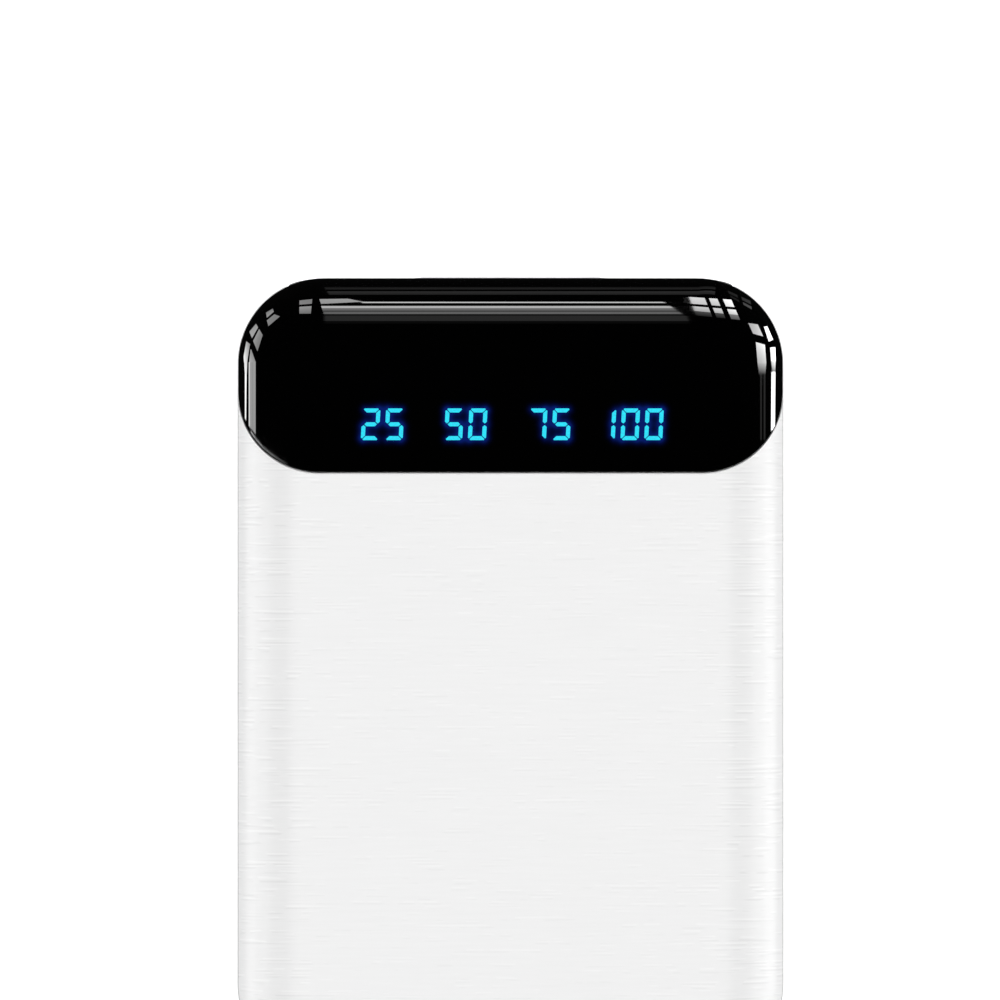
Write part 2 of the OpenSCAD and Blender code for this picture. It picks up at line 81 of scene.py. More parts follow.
HALF_W, HALF_L = [(CAD_BOX[1][i] - CAD_BOX[0][i]) / 2 / MM for i in (0, 1)]
HALF_T = (CAD_BOX[1][2] - CAD_BOX[0][2]) / 2 / MM
TOP_Z = 2 * HALF_T
CORNER_R = 9.8             # plan corners at the widest contour
EDGE_DEPTH = 7.4           # how far the rounded edge reaches in
EDGE_POWER = 2.2           # superellipse exponent of the rounded edge
FLAT_R = CORNER_R - EDGE_DEPTH
CORNER_X, CORNER_Y = HALF_W - CORNER_R, HALF_L - CORNER_R
WALL = 1.8
LENS_LO, LENS_HI = mm_box("display_lens")
PARTING_Z = LENS_LO[2]
REAR_TOP_Z = mm_box("rear_shell")[1][2]
LENS_T = 1.2
LENS_GAP = 0.1
LENS_CORNER_R = 9.3
LENS_SIDE_X = HALF_W - 0.16
LENS_END_Y = LENS_LO[1]
RIM_FILLET = 0.16          # edge radius of the shells at the parting line
LENS_FILLET = 0.14         # edge radius of the lens
CHAMFER = 0.13             # broken edge of openings in the shells
FILM_T = 0.15              # adhesive film under the lens
CARRIER_INNER = 2.4        # depth of the inner side of the lens's carrier
PLATE_X, PLATE_LOW_Z, PLATE_TOP_Z, PLATE_R = 25.2, 6.4, PARTING_Z - 0.1, 2.4
PLATE_GAP = 0.1
SOCKET_CLEARANCE = 0.2     # round a socket's metal shell
SOCKETS = {"usb_a_left": 0.7, "usb_a_right": 0.7, "usb_c": 1.62, "micro_usb": 0.9}    # corner radii
BUTTON_Y, BUTTON_Z, BUTTON_L, BUTTON_H = 26.5, 9.8, 10.0, 3.4
BUTTON_GAP = 0.15
BUTTON_LO, BUTTON_HI = mm_box("power_button")
BOARD_LOW_Z = mm_box("main_board")[0][2]
DIGIT_Y = sum(mm_box("display_board")[i][1] for i in (0, 1)) / 2
CELL_LO, CELL_HI = mm_box("lower_cell")
SCREWS = [(-23.6, 24.5), (19.6, 23.4)]
RIBS = [((x - 1, 34, WALL - 0.2), (x + 1, 37, BOARD_LOW_Z)) for x in (-21, 21)]
RIBS += [((x - 3, CELL_LO[1] - 1.3, WALL - 0.2), (x + 3, CELL_LO[1] - 0.3, 5.5)) for x in (-18, 18)]
RIBS += [((x - 3, CELL_HI[1] - 1.4, WALL - 0.2), (x + 3, CELL_HI[1] - 0.6, 5.2)) for x in (-18, 18)]


# ---------- the rounded outer form ----------

def edge_point(angle, inset=0.0):
    """Reach from the flat and height from the middle, angle in degrees from the widest contour."""
    c, s = abs(math.cos(math.radians(angle))), abs(math.sin(math.radians(angle)))
    c = 0.0 if c < 1e-9 else c
    sign = -1 if angle < 0 else 1
    p = 2 / EDGE_POWER
    n = (c ** (2 - p) / EDGE_DEPTH, s ** (2 - p) / HALF_T)
    size = math.hypot(*n)
    return (EDGE_DEPTH * c ** p - inset * n[0] / size,
            sign * (HALF_T * s ** p - inset * n[1] / size))


def angle_at(z, inset=0.0):
    table = [edge_point(a, inset)[1] + HALF_T for a in np.linspace(-90, 90, 3601)]
    return float(np.interp(z, table, np.linspace(-90, 90, 3601)))


def edge_rows(start, end, steps, inset=0.0):
    """[(radius about the core rectangle, z)] along the edge's outline."""
    return [(FLAT_R + reach, HALF_T + height)
            for reach, height in (edge_point(a, inset) for a in np.linspace(start, end, steps + 1))]


def core_distance(x, y):
    dx, dy = np.maximum(np.abs(x) - CORNER_X, 0), np.maximum(np.abs(y) - CORNER_Y, 0)
    return np.hypot(dx, dy), dx * np.sign(x), dy * np.sign(y)


def upper_z(x, y, inset=0.0, outside=PARTING_Z):
    """Height of the outer form's upper side, moved inwards by inset."""
    table = np.array([edge_point(a, inset) for a in np.linspace(90, 0, 1801)])
    reach = core_distance(np.asarray(x, float), np.asarray(y, float))[0] - FLAT_R
    z = HALF_T + np.interp(np.maximum(reach, 0), table[:, 0], table[:, 1])
    return np.where(reach > table[-1, 0], outside, z)


def side_radius(z):
    """Radius about the core rectangle at height z."""
    h = np.minimum(np.abs(np.asarray(z, float) - HALF_T) / HALF_T, 1)
    return FLAT_R + EDGE_DEPTH * (1 - h ** EDGE_POWER) ** (1 / EDGE_POWER)


def form_normals(points):
    """Outward normals of the outer form at points on it, and how far each point is off it."""
    rho, dx, dy = core_distance(points[:, 0], points[:, 1])
    reach = np.maximum(rho - FLAT_R, 0) / EDGE_DEPTH
    h = (points[:, 2] - HALF_T) / HALF_T
    off = reach ** EDGE_POWER + np.abs(h) ** EDGE_POWER - 1
    n_side = reach ** (EDGE_POWER - 1) / EDGE_DEPTH
    n_up = np.abs(h) ** (EDGE_POWER - 1) / HALF_T * np.sign(h)
    rho = np.maximum(rho, 1e-9)
    n = np.stack([n_side * dx / rho, n_side * dy / rho, n_up], 1)
    return n / np.linalg.norm(n, axis=1)[:, None], off


# ---------- mesh making ----------

def new_object(name, verts, faces):
    """A mesh object in millimetres with outward faces."""
    mesh = bpy.data.meshes.new(name)
    mesh.from_pydata([tuple(v) for v in verts], [], [tuple(f) for f in faces])
    bm = bmesh.new()
    bm.from_mesh(mesh)
    bmesh.ops.remove_doubles(bm, verts=bm.verts, dist=1e-5)
    bmesh.ops.dissolve_degenerate(bm, edges=bm.edges, dist=1e-6)
    bmesh.ops.recalc_face_normals(bm, faces=bm.faces)
    bm.to_mesh(mesh)
    bm.free()
    obj = bpy.data.objects.new(name, mesh)
    SCENE.collection.objects.link(obj)
    return obj


def combine(obj, other, operation):
    mod = obj.modifiers.new("combine", "BOOLEAN")
    mod.solver, mod.operation, mod.object = "EXACT", operation, other
    bpy.context.view_layer.update()
    mesh = bpy.data.meshes.new_from_object(
        obj.evaluated_get(bpy.context.evaluated_depsgraph_get()))
    obj.modifiers.clear()
    obj.data = mesh
    bpy.data.objects.remove(other)
    return obj


def cut(obj, *cutters):
    for cutter in cutters:
        combine(obj, cutter, "DIFFERENCE")
    return obj


def loft(name, loops, cap=True):
    """A closed solid through loops that all have the same number of points."""
    n = len(loops[0])
    verts = [tuple(p) for loop in loops for p in loop]
    faces = [(k * n + i, k * n + (i + 1) % n, (k + 1) * n + (i + 1) % n, (k + 1) * n + i)
             for k in range(len(loops) - 1) for i in range(n)]
    if cap:
        last = (len(loops) - 1) * n
        faces += [tuple(range(n)), tuple(range(last, last + n))]
    return new_object(name, verts, faces)


def plan_path(corner_steps=22, long_steps=26, short_steps=16):
    """Points of the core rectangle and the outward direction at each, all the way round."""
    core, out = [], []
    corners = [(sx * CORNER_X, sy * CORNER_Y) for sx, sy in ((1, 1), (-1, 1), (-1, -1), (1, -1))]
    for k, corner in enumerate(corners):
        for i in range(corner_steps + 1):
            a = math.radians(90 * (k + i / corner_steps))
            core.append(corner)
            out.append((math.cos(a), math.sin(a)))
        after, steps = corners[(k + 1) % 4], (short_steps, long_steps)[k % 2]
        for j in range(1, steps):
            t = j / steps
            core.append((corner[0] + (after[0] - corner[0]) * t, corner[1] + (after[1] - corner[1]) * t))
            out.append(out[-1])
    return np.array(core), np.array(out)


CORE, OUTWARD = plan_path()


def sweep(name, rows):
    """A solid swept round the body's plan through rows of (radius, z)."""
    loops = []
    for radius, z in rows:
        xy = CORE + radius * OUTWARD
        loops.append(np.column_stack([xy, np.full(len(xy), z)]))
    return loft(name, loops)


def arc(cx, cy, r, start, end, n):
    angles = np.radians(np.linspace(start, end, n + 1))
    return [(cx + r * math.cos(a), cy + r * math.sin(a)) for a in angles]


def rounded(x0, y0, x1, y1, radii, n=8, sides=(1, 1, 1, 1)):
    """A rectangle's outline, anticlockwise from its right side, radii for the corners
    upper right, upper left, lower left, lower right, and extra steps on the side after each."""
    corners = [(x1, y1, -1, -1), (x0, y1, 1, -1), (x0, y0, 1, 1), (x1, y0, -1, 1)]
    points = []
    for k, (x, y, sx, sy) in enumerate(corners):
        r = max(radii[k], 0.01)
        points += arc(x + sx * r, y + sy * r, r, 90 * k, 90 * (k + 1), n)
        nx, ny, ax, ay = corners[(k + 1) % 4]
        q = max(radii[(k + 1) % 4], 0.01)
        start = points[-1]
        end = (nx + ax * q, ny) if k % 2 == 0 else (nx, ny + ay * q)
        for j in range(1, sides[k]):
            t = j / sides[k]
            points.append((start[0] + (end[0] - start[0]) * t, start[1] + (end[1] - start[1]) * t))
    return points


def prism_box(name, low, high):
    x0, y0, z0 = low
    x1, y1, z1 = high
    square = [(x0, y0), (x1, y0), (x1, y1), (x0, y1)]
    return loft(name, [[(x, y, z) for x, y in square] for z in (z0, z1)])


def inside(points, polygon):
    """Even-odd test of many points against one polygon."""
    result = np.zeros(len(points), bool)
    x, y = points[:, 0], points[:, 1]
    for (ax, ay), (bx, by) in zip(polygon, np.roll(polygon, -1, axis=0)):
        crosses = (ay > y) != (by > y)
        with np.errstate(divide="ignore", invalid="ignore"):
            result ^= crosses & (x < (bx - ax) * (y - ay) / (by - ay) + ax)
    return result


def outline_distance(points, polygon):
    """Distance of many points to a polygon's outline."""
    best = np.full(len(points), 1e9)
    for a, b in zip(np.asarray(polygon), np.roll(polygon, -1, axis=0)):
        ab = b - a
        t = np.clip(((points - a) @ ab) / max(ab @ ab, 1e-12), 0, 1)
        best = np.minimum(best, np.linalg.norm(points - a - t[:, None] * ab, axis=1))
    return best


class Panel:
    """A curved sheet with thickness: rings from its border inwards, then a filled middle
    with holes. Each plan point has a drop below the outer surface."""

    def __init__(self):
        self.points, self.drops, self.faces, self.walls = [], [], [], []

    def ring(self, outline, drop=0.0):
        first = len(self.points)
        self.points += [tuple(p) for p in outline]
        self.drops += [drop] * len(outline)
        return list(range(first, len(self.points)))

    def bridge(self, a, b):
        n = len(a)
        self.faces += [(a[i], a[(i + 1) % n], b[(i + 1) % n], b[i]) for i in range(n)]

    def border(self, rings):
        """rings is [(outline, drop)] from the wall inwards; returns the last ring."""
        made = [self.ring(*r) for r in rings]
        for a, b in zip(made, made[1:]):
            self.bridge(a, b)
        self.walls.append(made[0])
        return made[-1]

    def fill(self, outer, holes, grid):
        """Triangles between the outer ring and the holes' rings, through the grid's points."""
        loops = [outer] + holes
        grid = np.asarray(grid, float).reshape(-1, 2)
        if len(grid):
            spacing = 0.3 * min(np.ptp(grid[:, 0]), np.ptp(grid[:, 1])) / math.sqrt(len(grid))
            keep = inside(grid, np.array([self.points[i] for i in outer]))
            keep &= outline_distance(grid, [self.points[i] for i in outer]) > spacing
            for hole in holes:
                polygon = np.array([self.points[i] for i in hole])
                keep &= ~inside(grid, polygon) & (outline_distance(grid, polygon) > min(spacing, 0.04))
            grid = grid[keep]
        indices = [i for loop in loops for i in loop]
        extra = self.ring(grid)
        coords = [Vector(self.points[i]) for i in indices + extra]
        edges, start = [], 0
        for loop in loops:
            edges += [(start + i, start + (i + 1) % len(loop)) for i in range(len(loop))]
            start += len(loop)
        out, _, faces, origin, _, _ = delaunay_2d_cdt(coords, edges, [], 0, 1e-7, True)
        number = [(indices + extra)[origin[i][0]] for i in range(len(out))]
        owner = {i: k for k, hole in enumerate(holes) for i in hole}
        polygons = [np.array([self.points[i] for i in hole]) for hole in holes]
        for face in faces:
            face = [number[i] for i in face]
            owners = {owner.get(i) for i in face}
            if len(owners) == 1 and None not in owners:
                middle = np.mean([self.points[i] for i in face], axis=0)[None]
                if inside(middle, polygons[owners.pop()])[0]:
                    continue
            self.faces.append(tuple(face))

    def build(self, name, outer, inner):
        """outer(points, drops) and inner(points) give the places of both sides."""
        points, drops = np.array(self.points), np.array(self.drops)
        n = len(points)
        verts = np.vstack([outer(points, drops), inner(points)])
        faces = list(self.faces) + [tuple(i + n for i in reversed(f)) for f in self.faces]
        for wall in self.walls:
            m = len(wall)
            faces += [(wall[i], wall[(i + 1) % m], wall[(i + 1) % m] + n, wall[i] + n) for i in range(m)]
        return new_object(name, verts, faces)


def fillet(radius, steps=5):
    """[(offset inwards, drop)] of a rounded edge, from the wall to the surface."""
    angles = [math.radians(90 * i / steps) for i in range(steps + 1)]
    return [(radius * (1 - math.cos(a)), radius * (1 - math.sin(a))) for a in angles]


def read(items, name, kind=float, width=1):
    """One value, or a row of them, for every vertex, loop or face."""
    values = np.zeros(len(items) * width, kind)
    items.foreach_get(name, values)
    return values.reshape(-1, width) if width > 1 else values


def finish_piece(obj, node, body, material):
    """Smooth shading with exact normals on the outer form, millimetres to metres, and its place."""
    mesh = obj.data
    mesh.polygons.foreach_set("use_smooth", [True] * len(mesh.polygons))
    mesh.set_sharp_from_angle(angle=math.radians(35))
    normals, off = form_normals(read(mesh.vertices, "co", width=3))
    loops = read(mesh.loops, "vertex_index", int)
    per_loop = np.repeat(read(mesh.polygons, "normal", width=3),
                         read(mesh.polygons, "loop_total", int), axis=0)
    wanted = normals[loops]
    on_form = (np.abs(off[loops]) < 0.004) & ((per_loop * wanted).sum(1) > 0.96)
    wanted[~on_form] = 0
    mesh.normals_split_custom_set([tuple(n) for n in wanted])
    mesh.transform(Matrix.Scale(MM, 4))
    mesh.materials.clear()
    mesh.materials.append(material)
    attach(obj, body)
    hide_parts(node)
    return obj


# ---------- materials ----------

def srgb(*levels):
    """Linear colour from display levels 0 to 255."""
    return tuple(((v / 255 + 0.055) / 1.055) ** 2.4 if v > 10.3 else v / 255 / 12.92
                 for v in levels) + (1,)


class Finish:
    """A Principled material with helpers for procedural detail in the piece's own space."""

    def __init__(self, name, colour, roughness, metallic=0.0, **sockets):
        self.material = bpy.data.materials.new(name)
        self.material.use_nodes = True
        self.nodes, self.links = self.material.node_tree.nodes, self.material.node_tree.links
        self.shader = self.nodes["Principled BSDF"]
        self.colour, self.roughness = colour, roughness
        self.coords = self.node("TexCoord").outputs["Object"]
        self.shader.inputs["Base Color"].default_value = colour
        self.shader.inputs["Roughness"].default_value = roughness
        self.shader.inputs["Metallic"].default_value = metallic
        for key, value in sockets.items():
            self.shader.inputs[key.replace("_", " ")].default_value = value

    def node(self, kind, **settings):
        made = self.nodes.new("ShaderNode" + kind)
        for key, value in settings.items():
            setattr(made, key, value)
        return made

    def math(self, operation, a, b=None):
        made = self.node("Math", operation=operation)
        for socket, value in zip(made.inputs, (a, b)):
            if value is None:
                continue
            if isinstance(value, (int, float)):
                socket.default_value = value
            else:
                self.links.new(value, socket)
        return made.outputs[0]

    def place(self, size, shift=(0, 0, 0)):
        """Object coordinates in units of size, in millimetres for each axis, after a shift."""
        scale = self.node("VectorMath", operation="MULTIPLY_ADD")
        scale.inputs[1].default_value = [1 / (s * MM) for s in size]
        scale.inputs[2].default_value = [d / s for d, s in zip(shift, size)]
        self.links.new(self.coords, scale.inputs[0])
        return scale.outputs[0]

    def noise(self, size, detail=2.0, rough=0.5, shift=(0, 0, 0)):
        made = self.node("TexNoise")
        made.inputs["Scale"].default_value = 1
        made.inputs["Detail"].default_value = detail
        made.inputs["Roughness"].default_value = rough
        self.links.new(self.place(size, shift), made.inputs["Vector"])
        return made.outputs["Fac"]

    def cells(self, size, feature="F1"):
        made = self.node("TexVoronoi", feature=feature)
        made.inputs["Scale"].default_value = 1
        self.links.new(self.place(size), made.inputs["Vector"])
        return made.outputs["Distance"]

    def spread(self, value, low, high, start=0.3, end=0.7):
        """value from start to end mapped to low to high, and held outside."""
        made = self.node("MapRange")
        made.inputs["From Min"].default_value, made.inputs["From Max"].default_value = start, end
        made.inputs["To Min"].default_value, made.inputs["To Max"].default_value = low, high
        self.links.new(value, made.inputs["Value"])
        return made.outputs["Result"]

    def tint(self, value, low, high):
        """Colours between low and high times the base colour."""
        mix = self.node("Mix", data_type="RGBA")
        self.links.new(self.spread(value, 0, 1), mix.inputs[0])
        mix.inputs[6].default_value = tuple(c * low for c in self.colour[:3]) + (1,)
        mix.inputs[7].default_value = tuple(c * high for c in self.colour[:3]) + (1,)
        self.links.new(mix.outputs[2], self.shader.inputs["Base Color"])
        return mix.outputs[2]

    def shade(self, colour, factor):
        """The colour times a factor as the base colour."""
        scale = self.node("VectorMath", operation="SCALE")
        self.links.new(colour, scale.inputs[0])
        self.links.new(factor, scale.inputs["Scale"])
        self.links.new(scale.outputs[0], self.shader.inputs["Base Color"])

    def axis(self, index):
        """One object coordinate in millimetres."""
        parts = self.node("SeparateXYZ")
        self.links.new(self.place((1, 1, 1)), parts.inputs[0])
        return parts.outputs[index]

    def wrap_ends(self):
        """Lets the coordinate along the body run on over its two ends, so that streaks stay across."""
        x, y, z = [self.axis(i) for i in range(3)]
        depth = self.math("SUBTRACT", HALF_T, self.math("ABSOLUTE", self.math("SUBTRACT", z, HALF_T)))
        share = self.spread(self.math("ABSOLUTE", y), 0, 1, HALF_L - 9, HALF_L - 3)
        extra = self.math("MULTIPLY", self.math("MULTIPLY", depth, share), self.math("SIGN", y))
        joined = self.node("CombineXYZ")
        for socket, value in zip(joined.inputs, (x, self.math("ADD", y, extra), z)):
            self.links.new(self.math("MULTIPLY", value, MM), socket)
        self.coords = joined.outputs[0]

    def gloss(self, value, spread):
        self.links.new(self.spread(value, self.roughness - spread, self.roughness + spread),
                       self.shader.inputs["Roughness"])

    def bump(self, value, depth, strength=1.0):
        """Raised by value times depth in millimetres."""
        made = self.node("Bump")
        made.inputs["Distance"].default_value = depth * MM
        made.inputs["Strength"].default_value = strength
        self.links.new(value, made.inputs["Height"])
        self.links.new(made.outputs["Normal"], self.shader.inputs["Normal"])


# brushed look: sizes across, along and through the body, in millimetres
GRAIN, BANDS, SCRATCH, PATCHES = (5, 0.24, 3), (9, 0.5, 7), (12, 0.26, 8), (2.3, 0.9, 4)
SCRATCH_PAIR = 0.22        # from a scratch's painted highlight line to its painted shade line
SCRATCH_CONTRAST = 0.064
SIDE_FROM, SIDE_TO = 20, 26    # scratches get denser between these distances from the middle


def brushed_shell():
    """White lacquer over fine streaks that run across the body."""
    f = Finish("brushed_white", srgb(239, 239, 239), 0.4, Specular_IOR_Level=0.45)
    f.wrap_ends()
    fine = f.noise(GRAIN, 1.5, 0.5)
    broad = f.noise(BANDS, 2.0, 0.5)
    both = f.math("ADD", f.math("MULTIPLY", fine, 0.7), f.math("MULTIPLY", broad, 0.3))
    colour = f.tint(both, 0.986, 1.012)
    # scattered longer scratches, each drawn as a painted highlight line beside a painted shade line, mostly
    # near the sides
    lines = [f.spread(f.noise(SCRATCH, 0.5, 0.4, (0, dy, 0)), 0, 1, 0.54, 0.66) for dy in (0, SCRATCH_PAIR)]
    near_side = f.spread(f.math("ABSOLUTE", f.axis(0)), 0, 1, SIDE_FROM, SIDE_TO)
    patches = f.noise(PATCHES, 1.0, 0.4, (3, 0, 0))
    patches = f.math("ADD", patches, f.math("MULTIPLY", near_side, 0.08))
    where = f.math("MULTIPLY", f.spread(patches, 0, 1, 0.53, 0.6), f.spread(near_side, 0.5, 1, 0, 1))
    painted_scratch_light_shade = f.math("MULTIPLY", f.math("SUBTRACT", *lines), where)
    # painted shadow of the groove between the shells
    groove = f.math("ABSOLUTE", f.math("SUBTRACT", f.axis(2), (PARTING_Z + REAR_TOP_Z) / 2))
    groove_painted_shade = f.spread(groove, 0.6, 1, 0.18, 0.34)
    # painted light and shade: a little lighter where the edge begins to turn, darker again towards the side,
    # and a little lighter below the parting line
    z = f.axis(2)
    painted_shoulder_shading = f.math("MULTIPLY", f.spread(z, 1.0, 1.05, 21.4, 19.5), f.spread(z, 0.945, 1.0, 17.2, 19.4))
    edge = f.math("MULTIPLY", painted_shoulder_shading, f.spread(z, 1.05, 1.0, PARTING_Z - 0.1, PARTING_Z))
    scratch_wear_and_shade = f.math("ADD", f.math("MULTIPLY", painted_scratch_light_shade, SCRATCH_CONTRAST), 1.0)
    f.shade(colour, f.math("MULTIPLY", f.math("MULTIPLY", groove_painted_shade, edge), scratch_wear_and_shade))
    f.gloss(fine, 0.07)
    f.bump(fine, 0.006, 0.6)
    return f.material


def moulded(name, colour, roughness, grain=0.12, depth=0.01, **sockets):
    """Moulded plastic with a fine spark-eroded grain."""
    f = Finish(name, colour, roughness, **sockets)
    fine = f.noise((grain,) * 3, 3.0, 0.6)
    f.tint(f.noise((4, 4, 4), 2.0), 0.93, 1.06)
    f.gloss(fine, 0.06)
    f.bump(fine, depth, 0.7)
    return f.material


def metal(name, colour, roughness, lay=(0.08, 1.6, 0.08), depth=0.004):
    """Drawn or brushed metal."""
    f = Finish(name, colour, roughness, 1.0)
    fine = f.noise(lay, 3.0, 0.6)
    f.tint(f.noise((1.5, 1.5, 1.5), 3.0), 0.86, 1.08)
    f.gloss(fine, 0.08)
    f.bump(fine, depth, 0.6)
    return f.material


def gloss_lens():
    """Black glossy cover; the light of the digits that spreads a little in its surface is painted on as a
    glow.
    """
    f = Finish("gloss_black", (0.0006, 0.0006, 0.0007, 1), 0.014, IOR=1.5)
    f.gloss(f.noise((0.6, 0.6, 0.6), 3.0, 0.6), 0.004)
    f.bump(f.noise((14, 14, 14), 1.0), 0.0015, 0.5)
    halo = f.node("Attribute", attribute_name="halo")
    f.shader.inputs["Emission Color"].default_value = (0.002, 0.009, 0.1, 1)
    f.links.new(halo.outputs["Fac"], f.shader.inputs["Emission Strength"])
    return f.material


def glowing_digits():
    """Cyan light guides with a slightly mottled glow."""
    f = Finish("glowing_cyan", srgb(12, 66, 84), 0.5, Specular_IOR_Level=0.1)
    mix = f.node("Mix", data_type="RGBA")
    f.links.new(f.spread(f.noise((0.2, 0.2, 0.2), 2.0), 0, 1), mix.inputs[0])
    mix.inputs[6].default_value = (0.03, 0.54, 0.78, 1)
    mix.inputs[7].default_value = (0.004, 0.84, 0.94, 1)
    f.links.new(mix.outputs[2], f.shader.inputs["Emission Color"])
    f.shader.inputs["Emission Strength"].default_value = 1.0
    f.tint(f.noise((0.5, 0.5, 0.5), 2.0), 0.9, 1.1)
    return f.material


def solder_mask():
    """Green lacquer over the board's glass cloth."""
    f = Finish("solder_mask", srgb(16, 74, 42), 0.3, Specular_IOR_Level=0.5)
    threads = []
    for direction in "XY":
        wave = f.node("TexWave", wave_type="BANDS", bands_direction=direction)
        wave.inputs["Scale"].default_value = 1
        wave.inputs["Distortion"].default_value = 1.5
        f.links.new(f.place((0.5, 0.5, 0.5)), wave.inputs["Vector"])
        threads.append(wave.outputs["Fac"])
    cloth = f.math("MULTIPLY", *threads)
    f.tint(f.math("ADD", f.math("MULTIPLY", cloth, 0.3), f.noise((2, 2, 2), 4.0)), 0.75, 1.2)
    f.bump(cloth, 0.01, 0.4)
    return f.material


def ferrite():
    """Dark pressed powder with specks."""
    f = Finish("ferrite", srgb(66, 66, 70), 0.62)
    speck = f.cells((0.14, 0.14, 0.14))
    f.tint(speck, 0.7, 1.3)
    f.gloss(speck, 0.1)
    f.bump(speck, 0.02, 0.7)
    return f.material


def ceramic():
    f = Finish("ceramic", srgb(176, 142, 104), 0.5)
    speck = f.noise((0.07, 0.07, 0.07), 4.0, 0.7)
    f.tint(speck, 0.85, 1.15)
    f.bump(speck, 0.006, 0.6)
    return f.material


def phosphor():
    f = Finish("phosphor", srgb(236, 214, 84), 0.55)
    grain = f.cells((0.05, 0.05, 0.05))
    f.tint(grain, 0.85, 1.1)
    f.bump(grain, 0.01, 0.6)
    return f.material


def pouch_foil():
    """Laminated foil of a pouch cell, with shallow creases."""
    f = Finish("pouch_foil", srgb(196, 198, 202), 0.34, 0.9)
    crease = f.noise((6, 9, 3), 5.0, 0.62)
    f.tint(crease, 0.88, 1.06)
    f.gloss(f.noise((0.7, 0.7, 0.7), 3.0), 0.08)
    f.bump(crease, 0.12, 0.7)
    return f.material


def film_tape(name, colour, roughness, alpha=1.0):
    f = Finish(name, colour, roughness, Alpha=alpha)
    ripple = f.noise((3, 0.8, 3), 4.0, 0.6)
    f.tint(ripple, 0.85, 1.12)
    f.gloss(ripple, 0.07)
    f.bump(ripple, 0.02, 0.6)
    return f.material


def foam():
    f = Finish("foam", srgb(70, 70, 74), 0.92)
    pores = f.cells((0.35, 0.35, 0.35))
    f.tint(pores, 0.5, 1.25)
    f.bump(pores, 0.12, 0.9)
    return f.material


def wire(name, colour):
    f = Finish(name, colour, 0.42)
    skin = f.noise((0.2, 0.9, 0.2), 3.0, 0.6)
    f.tint(skin, 0.86, 1.1)
    f.gloss(skin, 0.06)
    f.bump(skin, 0.01, 0.6)
    return f.material


SHELL = brushed_shell()
LENS = gloss_lens()
PLATE = moulded("plate_black", srgb(26, 26, 28), 0.36, 0.16, 0.012)
FINISHES = {"board_green": solder_mask(), "inductor_ferrite": ferrite(), "capacitor_ceramic": ceramic(),
            "led_phosphor": phosphor(), "indicator_cyan": glowing_digits(), "cell_foil": pouch_foil(),
            "foam_grey": foam()}
# display levels, roughness and any other settings of each
PLAIN_FINISHES = [
    (film_tape, {"film_black": ((20, 20, 20), 0.6),
                 "glue_sheet": ((206, 192, 140), 0.45),
                 "tape_amber": ((196, 122, 30), 0.3, 0.86)}),
    (moulded, {"switch_grey": ((92, 93, 96), 0.5),
               "plunger_black": ((22, 22, 23), 0.4),
               "insulator_white": ((232, 231, 226), 0.38, 0.1, 0.006),
               "insulator_black": ((24, 24, 25), 0.42, 0.1, 0.006),
               "chip_black": ((34, 34, 36), 0.55, 0.07, 0.008),
               "resistor_black": ((30, 30, 33), 0.35, 0.08, 0.004),
               "housing_white": ((236, 236, 232), 0.5, 0.12, 0.008)}),
    (metal, {"screw_steel": ((188, 188, 190), 0.3, (0.5, 0.5, 0.05)),
             "socket_steel": ((204, 204, 206), 0.24),
             "contact_gold": ((232, 190, 104), 0.22, (0.05, 0.7, 0.05), 0.002),
             "tab_nickel": ((190, 188, 182), 0.32, (0.7, 0.06, 0.7))}),
    (wire, {"lead_red": ((176, 24, 22),),
            "lead_black": ((24, 24, 25),)}),
]
for make, settings in PLAIN_FINISHES:
    for name, (levels, *others) in settings.items():
        FINISHES[name] = make(name, srgb(*levels), *others)


# ---------- shells ----------

def rim(radius, z, inwards):
    """Rows of the rounded edge at a shell's open rim, which lies at height z."""
    return [(radius - RIM_FILLET + RIM_FILLET * math.cos(a), z + inwards * RIM_FILLET * (1 - math.sin(a)))
            for a in np.radians(np.linspace(15, 90, 6))]


def rear_cover():
    """Lower shell, with its opening for the socket plate, the button hole, bosses and ribs."""
    rows = edge_rows(-90, angle_at(REAR_TOP_Z - RIM_FILLET), 44)
    rows += rim(rows[-1][0], REAR_TOP_Z, -1)
    rows += edge_rows(angle_at(REAR_TOP_Z, WALL), -90, 26, WALL)
    cover = sweep("rear_cover", rows)
    cut(cover, end_cutter("plate_notch", plate_outline, PLATE_GAP),
        side_cutter("button_hole", button_outline, BUTTON_GAP))
    for low, high in RIBS:
        combine(cover, prism_box("rib", low, high), "UNION")
    for x, y in SCREWS:
        combine(cover, boss(x, y), "UNION")
    return finish_piece(cover, "rear_shell", "casing", SHELL)


def boss(x, y):
    """Post under the board for a screw, with its pilot hole."""
    top, outer_r, hole_r = BOARD_LOW_Z, 2.0, 0.65
    rings = [(outer_r, WALL - 0.2), (outer_r, top - 0.2), (outer_r - 0.2, top),
             (hole_r + 0.1, top), (hole_r, top - 0.1), (hole_r, WALL + 0.8)]
    return loft("boss", [[(x + r * math.cos(a), y + r * math.sin(a), z)
                          for a in np.linspace(0, 2 * math.pi, 49)[:-1]] for r, z in rings])


def lens_boundary(grow, steps=56):
    """The lens's edge on the front shell from left to right, with outward directions."""
    x, y, r = LENS_SIDE_X - LENS_CORNER_R, LENS_END_Y + LENS_CORNER_R, LENS_CORNER_R + grow
    points = arc(-x, y, r, 180, 270, steps) + arc(x, y, r, 270, 360, steps)
    out = arc(0, 0, 1, 180, 270, steps) + arc(0, 0, 1, 270, 360, steps)
    return points, out


